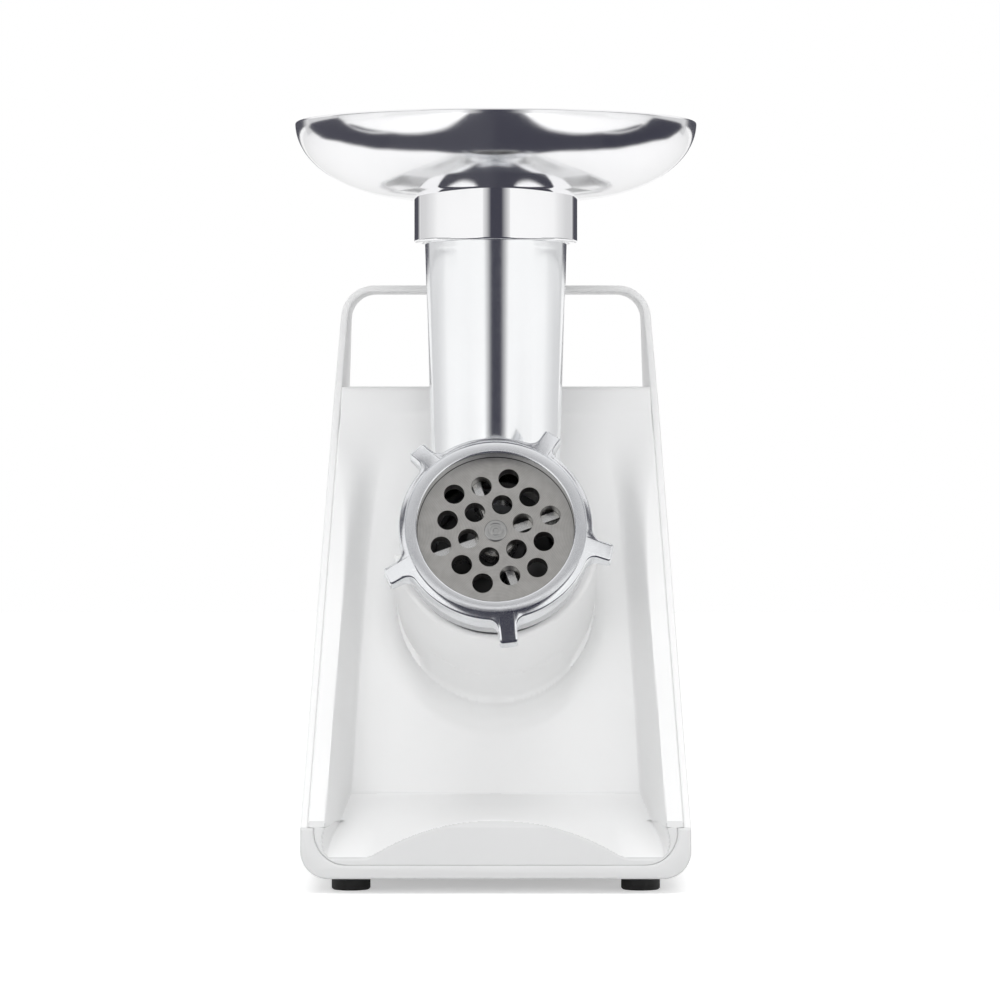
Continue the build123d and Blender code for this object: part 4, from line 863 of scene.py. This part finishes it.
def front_grid():
    """The front face's points in rows from the lower edge up, closer together round the hump."""
    lower = np.linspace(FRONT_SEAM_Z, FINE_TOP_Z, LOWER_ROWS, endpoint=False)
    heights = np.concatenate([lower, np.linspace(FINE_TOP_Z, TOP_Z, UPPER_ROWS)])
    half = np.where(heights > SEAM_Z, half_width(heights) - FRAME_THICKNESS, BASE_HALF_WIDTH - BASE_WALL)
    half = half - fall_back(MOUTH_CORNER + FRONT_SEAM_Z - heights, MOUTH_CORNER)
    x = np.linspace(-1, 1, FRONT_COLUMNS)[None, :] * half[:, None]
    z = np.repeat(heights[:, None], FRONT_COLUMNS, axis=1)
    y = housing_front_y(x, z)
    y = y + fall_back(z - (TOP_Z - TOP_ROUND), TOP_ROUND)
    y = y + fall_back(np.abs(x) - (half[:, None] - SIDE_ROUND), SIDE_ROUND)
    return [[Vector(point) for point in zip(*row)] for row in zip(x, y, z)]


def build_housing_front():
    """The front face as a grid, with walls straight back from its border and a flat rear."""
    grid = front_grid()
    rows, columns = len(grid), len(grid[0])
    vertices, faces = loft_rings(grid, close_rings=False)
    border = (
        list(range(columns))
        + [r * columns + columns - 1 for r in range(1, rows)]
        + [(rows - 1) * columns + c for c in range(columns - 2, -1, -1)]
        + [r * columns for r in range(rows - 2, 0, -1)]
    )
    start = len(vertices)
    vertices += [Vector((vertices[i].x, SPLIT_Y, vertices[i].z)) for i in border]
    for i in range(len(border)):
        j = (i + 1) % len(border)
        faces.append((border[i], start + i, start + j, border[j]))
    faces.append(tuple(range(start, start + len(border))))
    return make_object(
        "housing_front", vertices, faces, "root", WHITE, ("front_housing",), sharp=55.0
    )


def paint_light_and_shade_on_front(housing):
    """The lip below the niche gets the darker white, painted shade, and the niche's floor the paler white,
    painted light on its upward faces.
    """
    housing.data.materials.append(SHADED_WHITE_BASE)
    housing.data.materials.append(LIT_WHITE_FLOOR)
    rim = RIM_Y + 0.5
    for face in housing.data.polygons:
        centre = face.center / MM
        # faces that look up from the niche's floor get the paler white: painted light
        if face.normal.z > 0.8 and centre.z < FLOOR_Z + 4.0 and centre.y > rim:
            face.material_index = 2
        # the lip below the niche gets the darker white: painted shade
        if centre.y < rim and centre.z < HUMP_Z + 1.0:
            face.material_index = 1


paint_light_and_shade_on_front(build_housing_front())


# ---------------------------------------------------------------- boss and cradle behind the nut
BOSS_ROOT = -10.0
BOSS_ROOT_Y = -4.0  # the sleeve ends here, clear of the lock's stem
BOSS_EDGE = 1.8
SLEEVE_STEPS = 160
CRADLE_STEPS = 72
CRADLE_LAP = 4.0


def sleeve_ring(radius, rise, along):
    """One ring of the boss's sleeve; its root stays in front of the lock."""
    points = []
    for i in range(SLEEVE_STEPS):
        turn = 2 * math.pi * i / SLEEVE_STEPS
        up = rise + radius * math.sin(turn)
        nearest = (HEAD_ORIGIN.y + up * math.sin(TILT) - BOSS_ROOT_Y) / math.cos(TILT)
        points.append(head_point(radius * math.cos(turn), up, max(along, nearest)))
    return points


def build_boss_sleeve():
    rings = [sleeve_ring(BOSS_RADIUS, BOSS_RISE, BOSS_ROOT)]
    for cos, sin in arc(0, 90, 5):
        radius = BOSS_RADIUS - BOSS_EDGE * (1 - cos)
        rings.append(sleeve_ring(radius, BOSS_RISE, BOSS_FACE - BOSS_EDGE * (1 - sin)))
    for along in (BOSS_FACE, BOSS_ROOT):
        rings.append(sleeve_ring(SOCKET_RADIUS, 0.0, along))
    vertices, faces = loft_rings(rings, close_ends=True)
    make_object("boss_sleeve", vertices, faces, "root", WHITE, (), sharp=40.0)


def cradle_section(along, grow):
    """The cradle's crescent section, moved inwards by grow at its rounded front."""
    outer, inner = BOSS_RADIUS - grow, SOCKET_RADIUS + grow * 0.5
    outer_from = math.asin((-grow - BOSS_RISE) / outer)
    inner_from = math.asin(-grow / inner)
    points = []
    for k in range(CRADLE_STEPS + 1):
        turn = outer_from - (math.pi + 2 * outer_from) * k / CRADLE_STEPS
        points.append(head_point(outer * math.cos(turn), BOSS_RISE + outer * math.sin(turn), along))
    for k in range(CRADLE_STEPS + 1):
        turn = -math.pi - inner_from + (math.pi + 2 * inner_from) * k / CRADLE_STEPS
        points.append(head_point(inner * math.cos(turn), inner * math.sin(turn), along))
    return points


def build_boss_cradle():
    rings = [cradle_section(BOSS_FACE - CRADLE_LAP, 0.0)]
    for cos, sin in arc(0, 90, 6):
        rings.append(cradle_section(CRADLE_FRONT - BOSS_EDGE * (1 - sin), BOSS_EDGE * (1 - cos)))
    vertices, faces = loft_rings(rings, caps=(True, True))
    make_object("boss_cradle", vertices, faces, "root", WHITE, (), sharp=40.0)


build_boss_sleeve()
build_boss_cradle()


# ---------------------------------------------------------------- side frame with the hoop
FRAME_EDGE = 0.8
FRONT_BEND = 40.0
REAR_BEND = 30.0
HOOP_STEPS = 14
LONG_SPAN = 20.0
LONG_SPAN_PARTS = 48


def height_lookup(corners):
    """A function that gives y at a height, on the line through (y, z, radius) corners."""
    line = rounded(corners, 12, closed=False)
    ys, zs = [y for y, _ in line], [z for _, z in line]
    return lambda z: float(np.interp(z, zs, ys))


frame_front_y = height_lookup(
    [
        (rim_y(SEAM_Z), SEAM_Z, 0),
        (rim_y(NICHE_TOP_Z) + 1.0, NICHE_TOP_Z + 2.0, FRONT_BEND),
        (HOOP_FRONT_Y, HOOP_TOP_Z, 0),
    ]
)
frame_rear_y = height_lookup(
    [(rear_y(SEAM_Z), SEAM_Z, 0), (rear_y(TOP_Z), TOP_Z, REAR_BEND), (HOOP_REAR_Y, HOOP_TOP_Z, 0)]
)


def arch_line(inwards):
    """The hoop's line from the left foot over the top to the right foot, moved inwards."""
    top = HOOP_TOP_Z - inwards
    corner = max(HOOP_CORNER - inwards, 1.0)
    corners = [
        (-half_width(SEAM_Z) + inwards, SEAM_Z, 0),
        (-half_width(top) + inwards, top, corner),
        (half_width(top) - inwards, top, corner),
        (half_width(SEAM_Z) - inwards, SEAM_Z, 0),
    ]
    line = rounded(corners, HOOP_STEPS, closed=False)
    dense = []
    for (ax, az), (bx, bz) in zip(line, line[1:]):
        parts = LONG_SPAN_PARTS if math.hypot(bx - ax, bz - az) > LONG_SPAN else 1
        dense += [(ax + (bx - ax) * k / parts, az + (bz - az) * k / parts) for k in range(parts)]
    return dense + [line[-1]]


def build_side_frame():
    """The frame's section, an upright strip with rounded corners, carried along the hoop's line."""
    rings = []
    for (ox, oz), (ix, iz) in zip(arch_line(0.0), arch_line(FRAME_THICKNESS)):
        corners = [
            (0.0, frame_front_y(oz), FRAME_EDGE),
            (FRAME_THICKNESS, frame_front_y(iz), FRAME_EDGE),
            (FRAME_THICKNESS, frame_rear_y(iz), FRAME_EDGE),
            (0.0, frame_rear_y(oz), FRAME_EDGE),
        ]
        section = []
        for depth, y in rounded(corners, 4):
            share = depth / FRAME_THICKNESS
            section.append(Vector((ox + (ix - ox) * share, y, oz + (iz - oz) * share)))
        rings.append(section)
    vertices, faces = loft_rings(rings, caps=(True, True))
    make_object("side_frame", vertices, faces, "root", WHITE, ("handle_frame",), sharp=50.0)


build_side_frame()


# ---------------------------------------------------------------- base shell
BASE_EDGE = 1.0
SEAM_ROUND = 0.4


def base_section(y, grow):
    """The U-shaped trough's outline in the X-Z plane, moved inwards by grow."""
    wide, low, high = BASE_HALF_WIDTH - grow, FOOT_HEIGHT + grow, SEAM_Z - grow
    inner = BASE_HALF_WIDTH - BASE_WALL + grow
    corners = [
        (-wide, high, SEAM_ROUND),
        (-wide, low, BASE_CORNER - grow),
        (wide, low, BASE_CORNER - grow),
        (wide, high, SEAM_ROUND),
        (inner, high, SEAM_ROUND),
        (inner, FRONT_SEAM_Z - grow, MOUTH_CORNER),
        (-inner, FRONT_SEAM_Z - grow, MOUTH_CORNER),
        (-inner, high, SEAM_ROUND),
    ]
    return [Vector((x, y, z)) for x, z in rounded(corners, 10)]


def build_base_trough():
    rounds = [(BASE_EDGE * (1 - cos), BASE_EDGE * (1 - sin)) for cos, sin in arc(0, 90, 4)]
    rings = [base_section(BASE_FRONT_Y + short, grow) for grow, short in reversed(rounds)]
    rings += [base_section(REAR_Y - short, grow) for grow, short in rounds]
    vertices, faces = loft_rings(rings, caps=(True, True))
    # the base gets the darker white: painted shade
    make_object("base_trough", vertices, faces, "root", SHADED_WHITE_BASE, ("base_shell",), sharp=50.0)


build_base_trough()


# ---------------------------------------------------------------- floor
FLOOR_REACH = 3.0
FLOOR_CAMERA_GLOW = 0.42
FLOOR_GLOSSY_GLOW = 0.20


def stage_object(name, corners, material, faces):
    mesh = bpy.data.meshes.new(name)
    mesh.from_pydata(corners, [], faces)
    piece = bpy.data.objects.new(name, mesh)
    mesh.materials.append(material)
    bpy.context.scene.collection.objects.link(piece)
    return piece


def build_floor():
    """A white floor that glows for the camera and in reflections, so that only soft shadows show on it."""
    material, tree, shader = new_material("floor_white")
    shader.inputs["Base Color"].default_value = (0.86, 0.86, 0.86, 1)
    shader.inputs["Roughness"].default_value = 0.8
    shader.inputs["Emission Color"].default_value = (1, 1, 1, 1)
    path = tree.nodes.new("ShaderNodeLightPath")
    glow = calculate(tree, "MULTIPLY", path.outputs["Is Camera Ray"], FLOOR_CAMERA_GLOW)
    glow = calculate(tree, "MULTIPLY_ADD", path.outputs["Is Glossy Ray"], FLOOR_GLOSSY_GLOW, glow)
    tree.links.new(glow, shader.inputs["Emission Strength"])
    reach = FLOOR_REACH
    corners = [(-reach, -reach, 0), (reach, -reach, 0), (reach, reach, 0), (-reach, reach, 0)]
    stage_object("floor", corners, material, [(0, 1, 2, 3)])


build_floor()


# ---------------------------------------------------------------- lighting cards
TRAY_AXIS = Vector((0, TRAY_Y * MM, 0))
DARK = 0.058
PALE = 0.84
FLOOR_CARD_Z = 0.004
LEFT_FLOOR_DARK = 0.075
WING_Z = 0.2435
UNDERSIDE_Z = WING_Z - 0.001
UNDERSIDE_SHADE = 0.8
# azimuth, inner radius, outer radius of the dark floor in front of the object
FLOOR_EDGES = [
    (0, 0.05, 2.6), (12, 0.05, 2.6), (15, 0.05, 2.2), (17, 0.05, 1.3), (19, 0.05, 0.88), (22, 0.05, 0.62),
    (26, 0.05, 0.47), (32, 0.05, 0.38), (40, 0.05, 0.345), (50, 0.06, 0.335), (58, 0.09, 0.36),
    (66, 0.13, 0.42), (74, 0.155, 0.52), (80, 0.17, 0.64), (86, 0.20, 0.9), (92, 0.235, 1.3),
]
# azimuth, inner radius, outer radius of the dark wings beside the tray
WING_EDGES = [
    (50, 0.082, 0.120), (60, 0.087, 0.127), (68, 0.096, 0.146), (74, 0.103, 0.17), (78, 0.109, 0.20),
    (82, 0.116, 0.235), (86, 0.124, 0.30), (90, 0.131, 0.42), (95, 0.141, 0.68), (100, 0.153, 2.4),
    (105, 0.172, 2.8), (110, 0.205, 2.8), (115, 0.245, 2.8), (120, 0.31, 2.8), (125, 0.43, 2.8),
    (130, 0.66, 2.8),
]
# upright cards round the tray's axis: distance, then azimuth and shade along the card, then its two heights
LUG_CARD = (0.42, [(34, PALE), (42, 0.07), (92, 0.07), (102, PALE)], (0.295, 0.43))
EDGE_CARD = (1.0, [(132, PALE), (142, 0.08), (172, 0.08)], (0.262, 0.6))
SIDE_CARD = (1.7, [(66, 1.0), (88, 0.97), (100, 0.83), (116, 0.70), (140, 0.66)], (0.02, 0.5))
# the card behind the camera, with x and shade along it
FRONT_CARD_Y = -2.1
FRONT_CARD_TOP_Z = 0.9
FRONT_SHADES = [(-0.66, PALE), (-0.46, 0.55), (-0.24, DARK), (0.28, DARK), (0.48, 0.42), (0.74, PALE)]
# the high card, with z and shade up it
HIGH_CARD_Y = -1.6
HIGH_CARD_HALF_WIDTH = 1.6
HIGH_SHADES = [(1.0, 0.38), (1.6, 0.62), (2.8, 0.78)]


def card(name, corners, shades, faces):
    """A lighting card that only reflections see, shaded from point to point."""
    material = bpy.data.materials.new(name)
    material.use_nodes = True
    tree = material.node_tree
    tree.nodes.clear()
    attribute = tree.nodes.new("ShaderNodeAttribute")
    attribute.attribute_name = "shade"
    emission = tree.nodes.new("ShaderNodeEmission")
    output = tree.nodes.new("ShaderNodeOutputMaterial")
    tree.links.new(attribute.outputs["Color"], emission.inputs["Color"])
    tree.links.new(emission.outputs["Emission"], output.inputs["Surface"])
    piece = stage_object(name, corners, material, faces)
    colours = piece.data.color_attributes.new("shade", "FLOAT_COLOR", "POINT")
    for point, value in zip(colours.data, shades):
        # the darker a card, the cooler it looks in the metal
        blue = value + 0.02 * max(0.0, 1.0 - value)
        point.color = (value, value, blue, 1)
    piece.visible_camera = False
    piece.visible_shadow = False
    piece.visible_diffuse = False


def strip(name, rows):
    """A card lofted through rows of (point, shade)."""
    corners, faces = loft_rings([[point for point, _ in row] for row in rows], close_rings=False)
    card(name, corners, [shade for row in rows for _, shade in row], faces)


def bearing(azimuth, distance, z):
    """A point seen from the tray's axis; azimuth 0 lies towards the camera, 90 to the right."""
    turn = math.radians(azimuth)
    return TRAY_AXIS + Vector((math.sin(turn) * distance, -math.cos(turn) * distance, z))


def soft_rows(edges, side, z, dark, inner_soft, outer_soft):
    """Rows of a flat dark card whose inner and outer edges fade to pale."""
    rows = []
    for azimuth, inner, outer in edges:
        radii = (
            (inner * (1 - inner_soft), PALE),
            (inner * (1 + inner_soft), dark),
            (outer * (1 - outer_soft), dark),
            (outer * (1 + outer_soft), PALE),
        )
        rows.append([(bearing(side * azimuth, radius, z), shade) for radius, shade in radii])
    return rows


def upright_strip(name, side, distance, shades, heights):
    """An upright card round the tray's axis."""
    rows = []
    for z in heights:
        rows.append([(bearing(side * azimuth, distance, z), shade) for azimuth, shade in shades])
    strip(name, rows)


def build_cards():
    left_floor = soft_rows(FLOOR_EDGES, -1, FLOOR_CARD_Z, LEFT_FLOOR_DARK, 0.1, 0.1)
    right_floor = soft_rows(FLOOR_EDGES, 1, FLOOR_CARD_Z, DARK, 0.1, 0.1)
    strip("card_floor", list(reversed(left_floor[1:])) + right_floor)
    for side, name, dark in ((1, "right", 0.05), (-1, "left", 0.068)):
        strip("card_wing_" + name, soft_rows(WING_EDGES, side, WING_Z, dark, 0.03, 0.05))
        # the wings are pale underneath, where the tube would see them
        underside = soft_rows(WING_EDGES[1:], side, UNDERSIDE_Z, UNDERSIDE_SHADE, 0.01, 0.02)
        strip("card_under_" + name, underside)
        upright_strip("card_lug_" + name, side, *LUG_CARD)
        upright_strip("card_edge_" + name, side, *EDGE_CARD)
    rows = []
    for z in (0.0, FRONT_CARD_TOP_Z):
        rows.append([(Vector((x, FRONT_CARD_Y, z)), shade) for x, shade in FRONT_SHADES])
    strip("card_front", rows)
    rows = []
    for x in (-HIGH_CARD_HALF_WIDTH, HIGH_CARD_HALF_WIDTH):
        rows.append([(Vector((x, HIGH_CARD_Y, z)), shade) for z, shade in HIGH_SHADES])
    strip("card_high", rows)
    for side, name in ((-1, "left"), (1, "right")):
        upright_strip("card_side_" + name, side, *SIDE_CARD)


build_cards()


# ---------------------------------------------------------------- world and lamps
WORLD_DIFFUSE = 0.62


def build_world():
    """Full white for the camera and reflections, and weaker as a light."""
    world = bpy.data.worlds.new("world")
    bpy.context.scene.world = world
    world.use_nodes = True
    tree = world.node_tree
    background = tree.nodes["Background"]
    background.inputs["Color"].default_value = (1, 1, 1, 1)
    path = tree.nodes.new("ShaderNodeLightPath")
    seen = calculate(tree, "MAXIMUM", path.outputs["Is Camera Ray"], path.outputs["Is Glossy Ray"])
    strength = tree.nodes.new("ShaderNodeMapRange")
    strength.inputs["To Min"].default_value = WORLD_DIFFUSE
    strength.inputs["To Max"].default_value = 1.0
    tree.links.new(seen, strength.inputs["Value"])
    tree.links.new(strength.outputs["Result"], background.inputs["Strength"])


def area_light(name, place, target, size, power):
    """A lamp that lights the object without showing in it."""
    data = bpy.data.lights.new(name, "AREA")
    data.shape = "RECTANGLE"
    data.size, data.size_y = size
    data.energy = power
    lamp = bpy.data.objects.new(name, data)
    lamp.location = place
    lamp.rotation_euler = (Vector(target) - Vector(place)).to_track_quat("-Z", "Y").to_euler()
    lamp.visible_camera = False
    lamp.visible_glossy = False
    bpy.context.scene.collection.objects.link(lamp)


build_world()
area_light("front", (-0.15, -2.4, 0.55), (0, -0.03, 0.12), (1.4, 0.8), 16.0)
area_light("top", (0.0, -0.9, 2.2), (0, -0.05, 0.06), (2.2, 1.6), 24.0)
